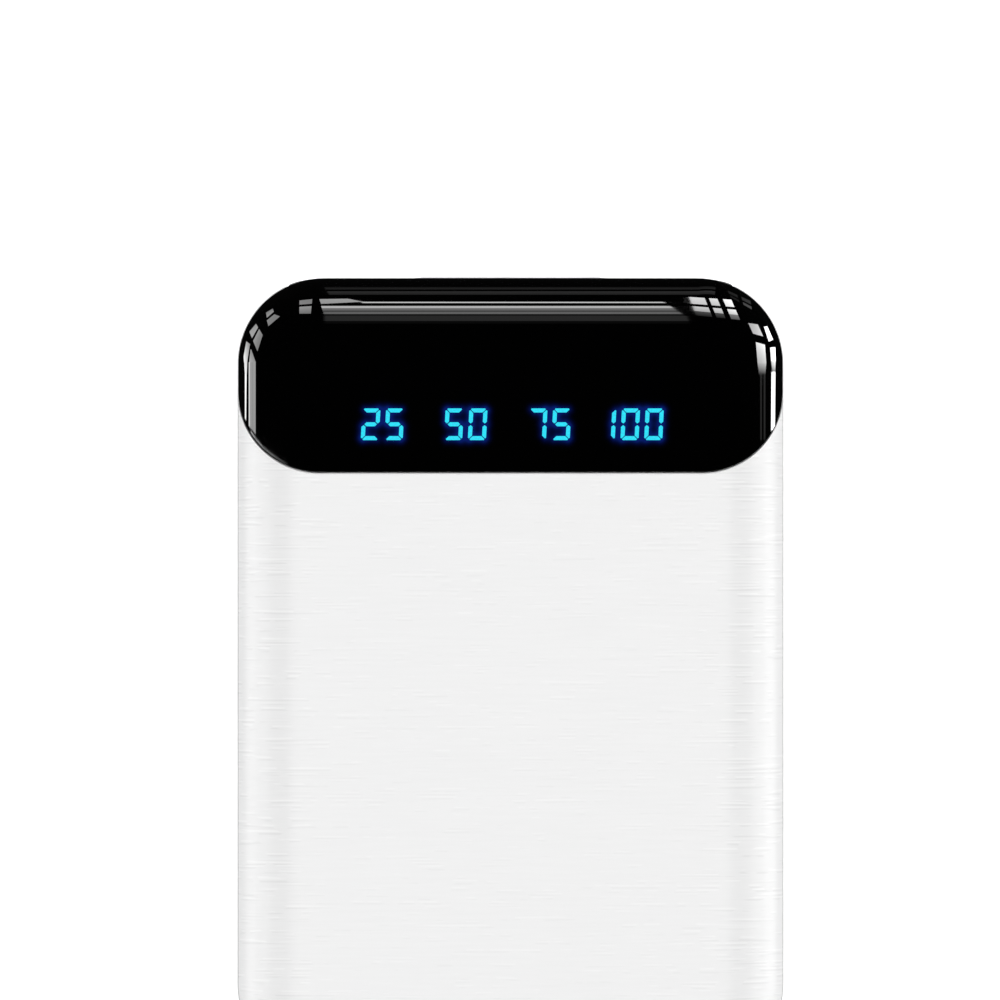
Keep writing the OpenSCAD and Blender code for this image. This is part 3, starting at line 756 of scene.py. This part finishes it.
def pocket_cutter():
    """Everything outside the lens's carrier within the lens's plan, with a broken upper edge."""
    edge, out = lens_boundary(LENS_GAP)
    far_x, far_y, y = HALF_W + 8, HALF_L + 8, edge[0][1]
    outer = [(far_x, y), (far_x, far_y), (-far_x, far_y), (-far_x, y)]
    xy = np.array(edge + outer)
    away = np.array(out + [(0, 0)] * 4)
    surface = upper_z(xy[:, 0], xy[:, 1])
    lift = 0.3
    low = np.column_stack([xy, np.full(len(xy), PARTING_Z - 0.06)])
    chamfer = np.column_stack([xy, np.maximum(surface - CHAMFER, PARTING_Z - 0.03)])
    flare = np.column_stack([xy + away * (CHAMFER + lift), surface + lift])
    top = np.column_stack([flare[:, :2], np.full(len(xy), TOP_Z + 3)])
    cutter = loft("pocket", [low, chamfer, flare, top])
    rows = edge_rows(angle_at(PARTING_Z - 1, LENS_T + FILM_T), 90, 40, LENS_T + FILM_T)
    return cut(cutter, sweep("carrier_form", rows))


def front_cover():
    """Upper shell with its inner lip, the lens's pocket and the display's window."""
    rows = edge_rows(90, angle_at(PARTING_Z + RIM_FILLET), 40)
    rows += rim(rows[-1][0], PARTING_Z, 1)
    lip_low = mm_box("front_shell")[0][2]
    lip_out, lip_in, lip_top = WALL + 0.1, WALL + 0.9, PARTING_Z + 1
    rows += edge_rows(angle_at(PARTING_Z, lip_out), angle_at(lip_low, lip_out), 3, lip_out)
    rows += edge_rows(angle_at(lip_low, lip_in), angle_at(lip_top, lip_in), 5, lip_in)
    rows += edge_rows(angle_at(lip_top, CARRIER_INNER), 90, 22, CARRIER_INNER)
    cover = sweep("front_cover", rows)
    cavity = sweep("cavity", edge_rows(angle_at(lip_top + 0.02, WALL), 90, 22, WALL))
    combine(cavity, prism_box("half", (-40, -60, 0), (40, LENS_END_Y - 1.5, 40)), "INTERSECT")
    window = prism_box("window", (-19, DIGIT_Y - 3.5, LENS_HI[2] - LENS_T - 3),
                       (19, DIGIT_Y + 3.5, TOP_Z + 5))
    sockets = prism_box("socket_space", (-PLATE_X - 1.5, CORNER_Y, 0),
                        (PLATE_X + 1.5, HALF_L + 5, PARTING_Z + 0.38))
    button = prism_box("button_space", (HALF_W - 6, BUTTON_LO[1] - 1.5, 0),
                       (HALF_W + 5, BUTTON_HI[1] + 1.5, PARTING_Z - 0.02))
    cut(cover, cavity, pocket_cutter(), window, sockets, button)
    return finish_piece(cover, "front_shell", "casing", SHELL)


# ---------- socket plate and button ----------

def plate_outline(grow, top=None):
    top = PLATE_TOP_Z + 4 + grow if top is None else top
    r = PLATE_R + grow
    x = PLATE_X + grow
    return rounded(-x, PLATE_LOW_Z - grow, x, top, (0.3, 0.3, r, r), 10, (24, 4, 24, 4))


def button_outline(grow):
    w, h = BUTTON_L / 2 + grow, BUTTON_H / 2 + grow
    return rounded(BUTTON_Y - w, BUTTON_Z - h, BUTTON_Y + w, BUTTON_Z + h, (h - 0.005,) * 4, 12,
                   (12, 1, 12, 1))


def end_y(x, z):
    """The outer form's socket end as y over (x, z)."""
    dx = np.maximum(np.abs(x) - CORNER_X, 0)
    return CORNER_Y + np.sqrt(np.maximum(side_radius(z) ** 2 - dx ** 2, 0))


def cutter(name, outline, gap, surface, deep, place):
    """A prism through a wall that widens at the surface, to break the opening's edge."""
    near, wide, lift = np.array(outline(gap)), np.array(outline(gap + CHAMFER + 0.4)), 0.4
    levels = [(near, np.full(len(near), deep)), (near, surface(near) - CHAMFER),
              (wide, surface(wide) + lift), (wide, np.full(len(near), deep + 25.0))]
    return loft(name, [place(p, h) for p, h in levels])


def end_cutter(name, outline, gap):
    return cutter(name, outline, gap, lambda p: end_y(p[:, 0], p[:, 1]), CORNER_Y + 2,
                  lambda p, h: np.column_stack([p[:, 0], h, p[:, 1]]))


def side_cutter(name, outline, gap):
    return cutter(name, outline, gap, lambda p: CORNER_X + side_radius(p[:, 1]), CORNER_X + 4,
                  lambda p, h: np.column_stack([h, p]))


def socket_plate():
    """Black end plate with the four socket mouths."""
    panel = Panel()
    edge, flange = 0.15, 1.1
    rings = [(plate_outline(grow, PLATE_TOP_Z), WALL + 0.1) for grow in (flange, 0)]
    rings += [(plate_outline(-i, PLATE_TOP_Z - i), d) for i, d in fillet(edge, 4)]
    last = panel.border(rings)
    holes = []
    for name, r in SOCKETS.items():
        lo, hi = mm_box(name + "_shell")
        made = []
        for wider, drop in ((0, 0.22), (0.07, 0.07), (0.22, 0)):    # the mouth's rounded edge
            grow = SOCKET_CLEARANCE + wider
            made.append((rounded(lo[0] - grow, lo[2] - grow, hi[0] + grow, hi[2] + grow, (r + grow,) * 4, 8,
                                 (10, 3, 10, 3)), drop))
        holes.append(panel.border(made))
    grid = [(x, z) for x in np.arange(-25, 25.1, 0.8) for z in np.arange(6.8, 13.8, 0.8)]
    panel.fill(last, holes, grid)
    depth = WALL + 0.9

    def outer(p, drops):
        return np.column_stack([p[:, 0], end_y(p[:, 0], p[:, 1]) - drops, p[:, 1]])

    def inner(p):
        return np.column_stack([p[:, 0], end_y(p[:, 0], p[:, 1]) - depth, p[:, 1]])

    plate = panel.build("socket_plate", outer, inner)
    return finish_piece(plate, "port_plate", "casing", PLATE)


def side_button():
    """White pill-shaped button face with its retaining flange and stem."""
    panel = Panel()
    flange, edge = 0.7, 0.35
    rings = [(button_outline(grow), WALL + 0.15) for grow in (flange, 0)]
    rings += [(button_outline(-i), d) for i, d in fillet(edge, 6)]
    rings += [(button_outline(-edge - 0.25 * k), 0) for k in range(1, 5)]
    last = panel.border(rings)
    grid = [(y, BUTTON_Z + z)
            for y in np.arange(BUTTON_Y - 4.5, BUTTON_Y + 4.6, 0.5) for z in (-0.15, 0.15)]
    panel.fill(last, [], grid)
    depth = WALL + 0.8

    def outer(p, drops):
        return np.column_stack([CORNER_X + side_radius(p[:, 1]) - drops, p])

    def inner(p):
        return np.column_stack([CORNER_X + side_radius(p[:, 1]) - depth, p])

    button = panel.build("side_button", outer, inner)
    stem_z = mm_box("tact_switch_plunger")[0][2] + 0.65
    stem = prism_box("stem", (BUTTON_LO[0], BUTTON_Y - 1.5, stem_z - 1),
                     (HALF_W - WALL - 0.6, BUTTON_Y + 1.5, stem_z + 1.2))
    combine(button, stem, "UNION")
    return finish_piece(button, "power_button", "button", SHELL)


# ---------- lens ----------

def bar_outlines():
    """Outlines of the lit bars, read from the top faces of the indicator nodes, in millimetres."""
    loops = []
    for node in ("indicator_25", "indicator_50", "indicator_75", "indicator_100"):
        mesh = frame["nodes"][node].data
        keys = [tuple(round(c / MM, 4) for c in v.co) for v in mesh.vertices]
        top = max(k[2] for k in keys)
        edges = {}
        for face in mesh.polygons:
            ring = [keys[i] for i in face.vertices]
            if all(abs(p[2] - top) < 1e-3 for p in ring):
                for a, b in zip(ring, ring[1:] + ring[:1]):
                    if (b, a) in edges:
                        del edges[(b, a)]
                    else:
                        edges[(a, b)] = True
        after = dict(edges.keys())
        while after:
            start = min(after)
            loop, at = [], start
            while at in after:
                loop.append(at[:2])
                at = after.pop(at)
            loops.append(loop)
    return loops


HALO_REACH, HALO_LIGHT, HALO_MOST = 0.43, 0.78, 1.3    # the digits' light in the lens around them, painted as a glow


def lens_ring(offset):
    """The lens's plan moved in by offset; the end on the front face moves in more slowly."""
    start = LENS_FILLET
    slow = offset if offset <= start else start + 0.3 * (offset - start)
    x, top = LENS_SIDE_X - offset, HALF_L - (HALF_W - LENS_SIDE_X) - offset
    r_top = CORNER_R - (HALF_W - LENS_SIDE_X) - offset
    r_low = LENS_CORNER_R - offset
    return rounded(-x, LENS_END_Y + slow, x, top, (r_top, r_top, r_low, r_low), 34, (40, 10, 50, 10))


def lens():
    panel = Panel()
    rings = [(lens_ring(i), d) for i, d in fillet(LENS_FILLET, 5)]
    top_reach = edge_point(angle_at(PARTING_Z))[0]
    for a in np.linspace(angle_at(PARTING_Z), 90, 60)[1:]:
        offset = top_reach - edge_point(a)[0]
        if offset > LENS_FILLET + 0.03:
            rings.append((lens_ring(offset), 0))
    last = panel.border(rings)
    bars = bar_outlines()
    holes = [panel.border([(loop, 0)]) for loop in bars]
    x, y, pitch = 20.0, 3.0, 0.17    # a fine grid round the digits carries their painted glow
    grid = [(gx + (pitch / 2 if row % 2 else 0), gy)
            for row, gy in enumerate(np.arange(DIGIT_Y - y, DIGIT_Y + y, pitch))
            for gx in np.arange(-x, x, pitch)]
    panel.fill(last, holes, grid)

    def outer(p, drops):
        z = upper_z(p[:, 0], p[:, 1])
        normals = form_normals(np.column_stack([p, z]))[0]
        return np.column_stack([p, z - drops * np.abs(normals[:, 2])])

    def inner(p):
        return np.column_stack([p, np.maximum(upper_z(p[:, 0], p[:, 1], LENS_T), PARTING_Z)])

    obj = panel.build("gloss_lens", outer, inner)
    co = read(obj.data.vertices, "co", width=3)
    glow = np.zeros(len(co))
    near = (np.abs(co[:, 1] - DIGIT_Y) < 4) & (np.abs(co[:, 0]) < 21)
    for loop in bars:
        polygon = np.array(loop)
        close = near & (np.abs(co[:, 0] - polygon[:, 0].mean()) < 4)
        glow[close] += np.exp(-(outline_distance(co[close][:, :2], polygon) / HALO_REACH) ** 1.3)
    layer = obj.data.attributes.new("halo", "FLOAT", "POINT")
    glow = np.minimum(HALO_LIGHT * glow ** 2, HALO_MOST)
    layer.data.foreach_set("value", glow.astype(np.float32))
    return finish_piece(obj, "display_lens", "casing", LENS)


# ---------- carried-over nodes ----------

BROKEN_EDGES = {"socket_steel": 0.06, "insulator_white": 0.1, "insulator_black": 0.06,
                "contact_gold": 0.02, "switch_grey": 0.1, "plunger_black": 0.1, "chip_black": 0.05,
                "board_green": 0.05, "housing_white": 0.05, "capacitor_ceramic": 0.08,
                "resistor_black": 0.04}    # millimetres


def dress_nodes():
    """Procedural finishes on the CAD nodes that stay, and broken edges on the metal and plastic ones."""
    for obj in frame["nodes"].values():
        if obj.hide_render or not obj.data.materials:
            continue
        slot = obj.data.materials[0].name.split(".")[0]
        if slot not in FINISHES:
            continue
        for held in obj.material_slots:
            held.material = FINISHES[slot]
        if slot in BROKEN_EDGES:
            weld = obj.modifiers.new("weld", "WELD")
            weld.merge_threshold = 1e-6
            bevel = obj.modifiers.new("bevel", "BEVEL")
            bevel.width, bevel.segments = BROKEN_EDGES[slot] * MM, 2
            bevel.limit_method, bevel.angle_limit = "ANGLE", math.radians(40)


# ---------- stage, lights and camera ----------

CAMERA_PLACE = Vector((-1.19, 19.753, 12.5)) * MM
CAMERA_LENS, SENSOR_WIDTH = 700.0, 36.0
FRAME_WIDTH = 113.37       # what the view spans at that place, in millimetres


def camera():
    data = bpy.data.cameras.new("camera")
    data.lens, data.sensor_width = CAMERA_LENS, SENSOR_WIDTH
    obj = bpy.data.objects.new("camera", data)
    distance = FRAME_WIDTH * CAMERA_LENS / SENSOR_WIDTH * MM
    obj.location = CAMERA_PLACE + Vector((0, 0, distance))
    data.clip_end = distance * 3
    SCENE.collection.objects.link(obj)
    SCENE.camera = obj
    return obj


def area_light(name, place, target, size, power, receivers, blockers=None):
    """A softbox that lights and shows in the receivers only; blockers cast its shadows."""
    data = bpy.data.lights.new(name, "AREA")
    data.shape, data.size, data.size_y = "RECTANGLE", size[0], size[1]
    data.energy = power
    obj = bpy.data.objects.new(name, data)
    obj.location = place
    obj.rotation_euler = (Vector(target) - Vector(place)).to_track_quat("-Z", "Y").to_euler()
    obj.visible_camera = False
    obj.light_linking.receiver_collection = receivers
    obj.light_linking.blocker_collection = blockers
    SCENE.collection.objects.link(obj)
    return obj


def group(name, objects):
    made = bpy.data.collections.new(name)
    for obj in objects:
        made.objects.link(obj)
    return made


FLOOR_LIGHT, FLOOR_LIGHT_SEEN = 0.2, 0.8     # the floor's own light, for the object and the camera
WORLD_LIGHT, WORLD_MIRRORED, WORLD_SEEN = 0.24, 0.004, 1.0


def floor():
    """Pale studio floor just under the object."""
    mesh = bpy.data.meshes.new("floor")
    s, z = 6.0, -0.05 * MM
    mesh.from_pydata([(-s, -s, z), (s, -s, z), (s, s, z), (-s, s, z)], [], [(0, 1, 2, 3)])
    obj = bpy.data.objects.new("floor", mesh)
    f = Finish("floor_white", (0.86, 0.86, 0.86, 1), 0.9, Specular_IOR_Level=0.0)
    f.shader.inputs["Emission Color"].default_value = (1, 1, 1, 1)
    seen = f.node("LightPath").outputs["Is Camera Ray"]
    f.links.new(f.spread(seen, FLOOR_LIGHT, FLOOR_LIGHT_SEEN, 0, 1), f.shader.inputs["Emission Strength"])
    # seen from below, the floor lets the view through to the back of the object
    side, clear, mix = f.node("NewGeometry"), f.node("BsdfTransparent"), f.node("MixShader")
    f.links.new(side.outputs["Backfacing"], mix.inputs[0])
    f.links.new(f.shader.outputs[0], mix.inputs[1])
    f.links.new(clear.outputs[0], mix.inputs[2])
    f.links.new(mix.outputs[0], f.nodes["Material Output"].inputs["Surface"])
    mesh.materials.append(f.material)
    obj.visible_glossy = False
    SCENE.collection.objects.link(obj)


def world():
    """White surroundings that light the object softly and hardly show in its gloss."""
    made = bpy.data.worlds.new("studio")
    made.use_nodes = True
    nodes, links = made.node_tree.nodes, made.node_tree.links
    back = nodes["Background"]
    path = nodes.new("ShaderNodeLightPath")
    mixes = []
    for ray, level in (("Is Glossy Ray", WORLD_MIRRORED), ("Is Camera Ray", WORLD_SEEN)):
        mix = nodes.new("ShaderNodeMix")
        mix.data_type = "FLOAT"
        links.new(path.outputs[ray], mix.inputs[0])
        mix.inputs[2].default_value = WORLD_LIGHT
        mix.inputs[3].default_value = level
        mixes.append(mix)
    links.new(mixes[0].outputs[0], mixes[1].inputs[2])
    links.new(mixes[1].outputs[0], back.inputs["Strength"])
    back.inputs["Color"].default_value = (1, 1, 1, 1)
    SCENE.world = made


def reflected(eye, x, y, distance):
    """Where a ray from the camera goes after the lens at (x, y), in metres."""
    z = float(upper_z(x, y))
    p = np.array([[x, y, z]])
    n = form_normals(p)[0][0]
    place = p[0] * MM
    ray = place - eye
    ray /= np.linalg.norm(ray)
    return place + (ray - 2 * (ray @ n) * n) * distance


# Single panes and light strips that the lens mirrors: x and y in millimetres of the four corners
# where each is seen on the lens, and its brightness at the first two and at the last two
STRIPS = [
    # beyond the socket end
    (-21.6, 42.45, -18.4, 42.5, -16.6, 42.15, -21.4, 41.9, 5.5, 6),
    (-16.8, 42.14, 17.2, 42.14, 17.6, 42, -16.8, 42, 10, 10),
    # round the left corner
    (-27.65, 40.95, -26.9, 41.4, -26.75, 41.05, -27.55, 40.35, 1.5, 3),
    (-27.55, 40.05, -26.7, 40.75, -26.05, 40.5, -27.35, 39.4, 2.7, 3.3),
    (-29.9, 37.7, -29.45, 37.4, -29.75, 35.6, -30.2, 36, 2, 4.5),
    (-30.2, 36, -29.75, 35.6, -29.85, 33.75, -30.05, 34.1, 4.5, 6),
    (-30.05, 34.1, -29.85, 33.75, -29.9, 28.75, -30.05, 29, 7, 6),
    (-29.4, 36.8, -29.3, 36.75, -28.8, 35.35, -29.55, 35.35, 2.5, 4),
    # round the right corner
    (26.85, 39.75, 27.95, 39.6, 28.55, 38.25, 27.4, 38.55, 7, 9),
    (28.65, 39.35, 29.05, 39.4, 29.7, 37.9, 29.2, 37.65, 12, 12),
    (27.7, 37.6, 28.75, 37.3, 28.9, 35.2, 27.9, 35.2, 15, 9),
    (27.9, 35.2, 28.9, 35.2, 28.8, 34, 28.1, 34, 8, 0.5),
    (29.35, 37, 29.95, 37.05, 30, 35.5, 29.45, 35.5, 12, 13),
    (29.45, 35.5, 30, 35.5, 29.95, 34.35, 29.6, 34.35, 8, 2),
    (29.5, 34.25, 29.95, 34.25, 29.9, 27.6, 29.45, 27.6, 13, 13),
]
# Windows of several panes: the outline's four corners, the shares of its width and height that
# the columns and rows take, and row by row the first and last brightness of each pane
WHOLE = [(0, 1)]
WINDOWS = [
    # bands beyond the socket end, and two faint ones nearer to the rim
    (((-21.4, 41.67), (18, 41.67), (19.7, 40.54), (-21, 40.54)), WHOLE,
     [(0, 0.2), (0.2, 0.6), (0.6, 0.8), (0.8, 1)],
     [[(9, 10.5)], [(4.4, 0.7)], [(2.6, 3.2)], [(0.45, 0.12)]]),
    (((-21, 40.54), (19.9, 40.54), (20.2, 39.65), (-21, 39.65)), WHOLE,
     [(0, 0.64), (0.64, 1)], [[(0.5, 0.5)], [(0.08, 0.05)]]),
    (((-21.1, 43.85), (23.2, 43.85), (23.1, 42.95), (-20.5, 42.95)), WHOLE,
     [(0, 0.32), (0.56, 1)], [[(0.04, 0.14)], [(0.27, 0.18)]]),
    # round the left corner
    (((-23.85, 42.3), (-22.4, 42.45), (-22.55, 40.8), (-23.85, 40.8)), WHOLE,
     [(0, 0.32), (0.48, 1)], [[(3.2, 4)], [(6, 3.6)]]),
    (((-29.55, 38.8), (-28.8, 39.7), (-28, 38.4), (-28.6, 36.55)), WHOLE,
     [(0, 0.33), (0.47, 1)], [[(1.5, 3)], [(3, 3)]]),
    (((-29.6, 35.35), (-28.8, 35.35), (-28.8, 27.15), (-29.6, 28.15)),
     [(0, 0.16), (0.16, 0.67), (0.67, 1)], WHOLE, [[(6, 6), (3.5, 3.2), (4.5, 4)]]),
    # round the right corner, and four faint panes nearer to the rim
    (((20.15, 42.7), (24.95, 42.4), (25.95, 40.05), (20.95, 40.55)),
     [(0, 0.37), (0.47, 0.67), (0.8, 1)], [(0, 0.36), (0.49, 0.74), (0.74, 0.98)],
     [[(11, 12), (12, 11), (13, 14)], [(13, 9), (14, 10), (16, 12)],
      [(1.6, 0.3), (1.6, 0.3), (4, 2)]]),
    (((24.55, 43.45), (27.15, 42.3), (27.3, 41.3), (24.9, 42.65)), [(0, 0.42), (0.6, 1)],
     [(0, 0.42), (0.66, 1)], [[(0.1, 0.1), (0.14, 0.2)], [(0.1, 0.1), (0.4, 0.6)]]),
    (((28.2, 34), (28.8, 34), (28.8, 26.5), (28.2, 26.5)), [(0, 0.33), (0.67, 1)], WHOLE,
     [[(0.35, 0.3), (0.35, 0.3)]]),
]


def between(corners, u, v):
    """The point at shares u and v of the width and height of a four-cornered outline."""
    a, b, c, d = np.reshape(corners, (4, 2)).astype(float)
    return (a + (b - a) * u) * (1 - v) + (d + (c - d) * u) * v


def window(outline, columns, rows, glow):
    """The panes of a window, in the form of a strip."""
    return [(*between(outline, u0, v0), *between(outline, u1, v0), *between(outline, u1, v1),
             *between(outline, u0, v1), *glow[j][i])
            for j, (v0, v1) in enumerate(rows) for i, (u0, u1) in enumerate(columns)]


# Thin line inside the lens's lower left corner: angle in degrees, width in millimetres and brightness
THIN_LINE = [(211, 0.1, 5.5), (217, 0.1, 6), (225, 0.1, 7), (233, 0.1, 7.4), (240, 0.08, 5.5), (247, 0.03, 3)]
THIN_LINE_R = LENS_CORNER_R - 0.12


def thin_line():
    """Panes of the thin line, in short pieces round the corner."""
    middle = np.array([LENS_CORNER_R - LENS_SIDE_X, LENS_END_Y + LENS_CORNER_R])
    ends = []
    for angle, width, glow in THIN_LINE:
        out = np.array([math.cos(math.radians(angle)), math.sin(math.radians(angle))])
        ends.append((middle + out * THIN_LINE_R, middle + out * (THIN_LINE_R - width), glow))
    return [(*a, *b, *c, *d, first, last) for (a, b, first), (d, c, last) in zip(ends, ends[1:])]


def mirrored_panes(eye):
    """The lit panes, placed where the lens mirrors them to a viewer at eye."""
    verts, faces, glow = [], [], []
    steps = 12
    for *corners, first, last in STRIPS + thin_line() + [pane for w in WINDOWS for pane in window(*w)]:
        base = len(verts)
        for j in range(4):
            v = j / 3
            for i in range(steps + 1):
                verts.append(reflected(eye, *between(corners, i / steps, v), 0.5))
                glow.append(first + (last - first) * v)
        row = steps + 1
        faces += [(k, k + 1, k + 1 + row, k + row)
                  for k in (base + j * row + i for j in range(3) for i in range(steps))]
    mesh = bpy.data.meshes.new("window_panes")
    mesh.from_pydata([tuple(v) for v in verts], [], faces)
    mesh.attributes.new("glow", "FLOAT", "POINT").data.foreach_set("value", np.array(glow, np.float32))
    material = bpy.data.materials.new("pane_light")
    material.use_nodes = True
    nodes, links = material.node_tree.nodes, material.node_tree.links
    nodes.remove(nodes["Principled BSDF"])
    light = nodes.new("ShaderNodeEmission")
    attribute = nodes.new("ShaderNodeAttribute")
    attribute.attribute_name = "glow"
    links.new(attribute.outputs["Fac"], light.inputs["Strength"])
    links.new(light.outputs[0], nodes["Material Output"].inputs["Surface"])
    mesh.materials.append(material)
    obj = bpy.data.objects.new("window_panes", mesh)
    obj.visible_camera = obj.visible_diffuse = obj.visible_shadow = obj.visible_transmission = False
    obj.light_linking.receiver_collection = group("glossy", [bpy.data.objects["gloss_lens"]])
    SCENE.collection.objects.link(obj)


MIDDLE = (0, 0, 0.012)
# softboxes: name, which pieces each lights, place, target and size in metres, power in watts
LIGHTS = [
    ("overhead", "satin", (0, 0.02, 0.9), (0, 0.0, 0), (0.7, 0.7), 5.73),
    ("left_box", "satin", (-0.8, 0.0, 0.12), MIDDLE, (1.2, 0.3), 1.75),
    ("right_box", "satin", (0.8, 0.0, 0.12), MIDDLE, (1.2, 0.3), 2.07),
    ("left_low", "front", (-0.66, 0.0, -0.45), MIDDLE, (1.2, 0.3), 1.75),
    ("right_low", "front", (0.66, 0.0, -0.45), MIDDLE, (1.2, 0.3), 2.25),
    ("under", "undersides", (0, 0, -0.8), (0, 0, 0), (0.8, 0.8), 1.8),
    ("socket_end_box", "satin", (0.0, 0.8, 0.2), MIDDLE, (1.4, 0.5), 1.1),
    ("plain_end_box", "satin", (0.0, -0.8, 0.2), MIDDLE, (1.4, 0.5), 0.8),
]


def lights(eye):
    """Softboxes that the satin surfaces mirror and the lens doesn't, and the panes for the lens."""
    meshes = [obj for obj in SCENE.objects if obj.type == "MESH"]
    lit = {"satin": [obj for obj in meshes if obj.name != "gloss_lens"],
           "front": [bpy.data.objects["front_cover"]],
           "undersides": [obj for obj in meshes if obj.name not in ("gloss_lens", "floor")]}
    lit = {kind: group(kind, objects) for kind, objects in lit.items()}
    pieces = group("pieces", [obj for obj in meshes if obj.name != "floor"])
    for name, kind, place, target, size, power in LIGHTS:
        # the floor doesn't shade what is lit from below
        area_light(name, place, target, size, power, lit[kind], None if kind == "satin" else pieces)
    mirrored_panes(eye)


SCENE.view_settings.view_transform = "Standard"
CAMERA = camera()
floor()
world()
rear_cover()
front_cover()
socket_plate()
side_button()
lens()
dress_nodes()
lights(np.array(CAMERA.location))
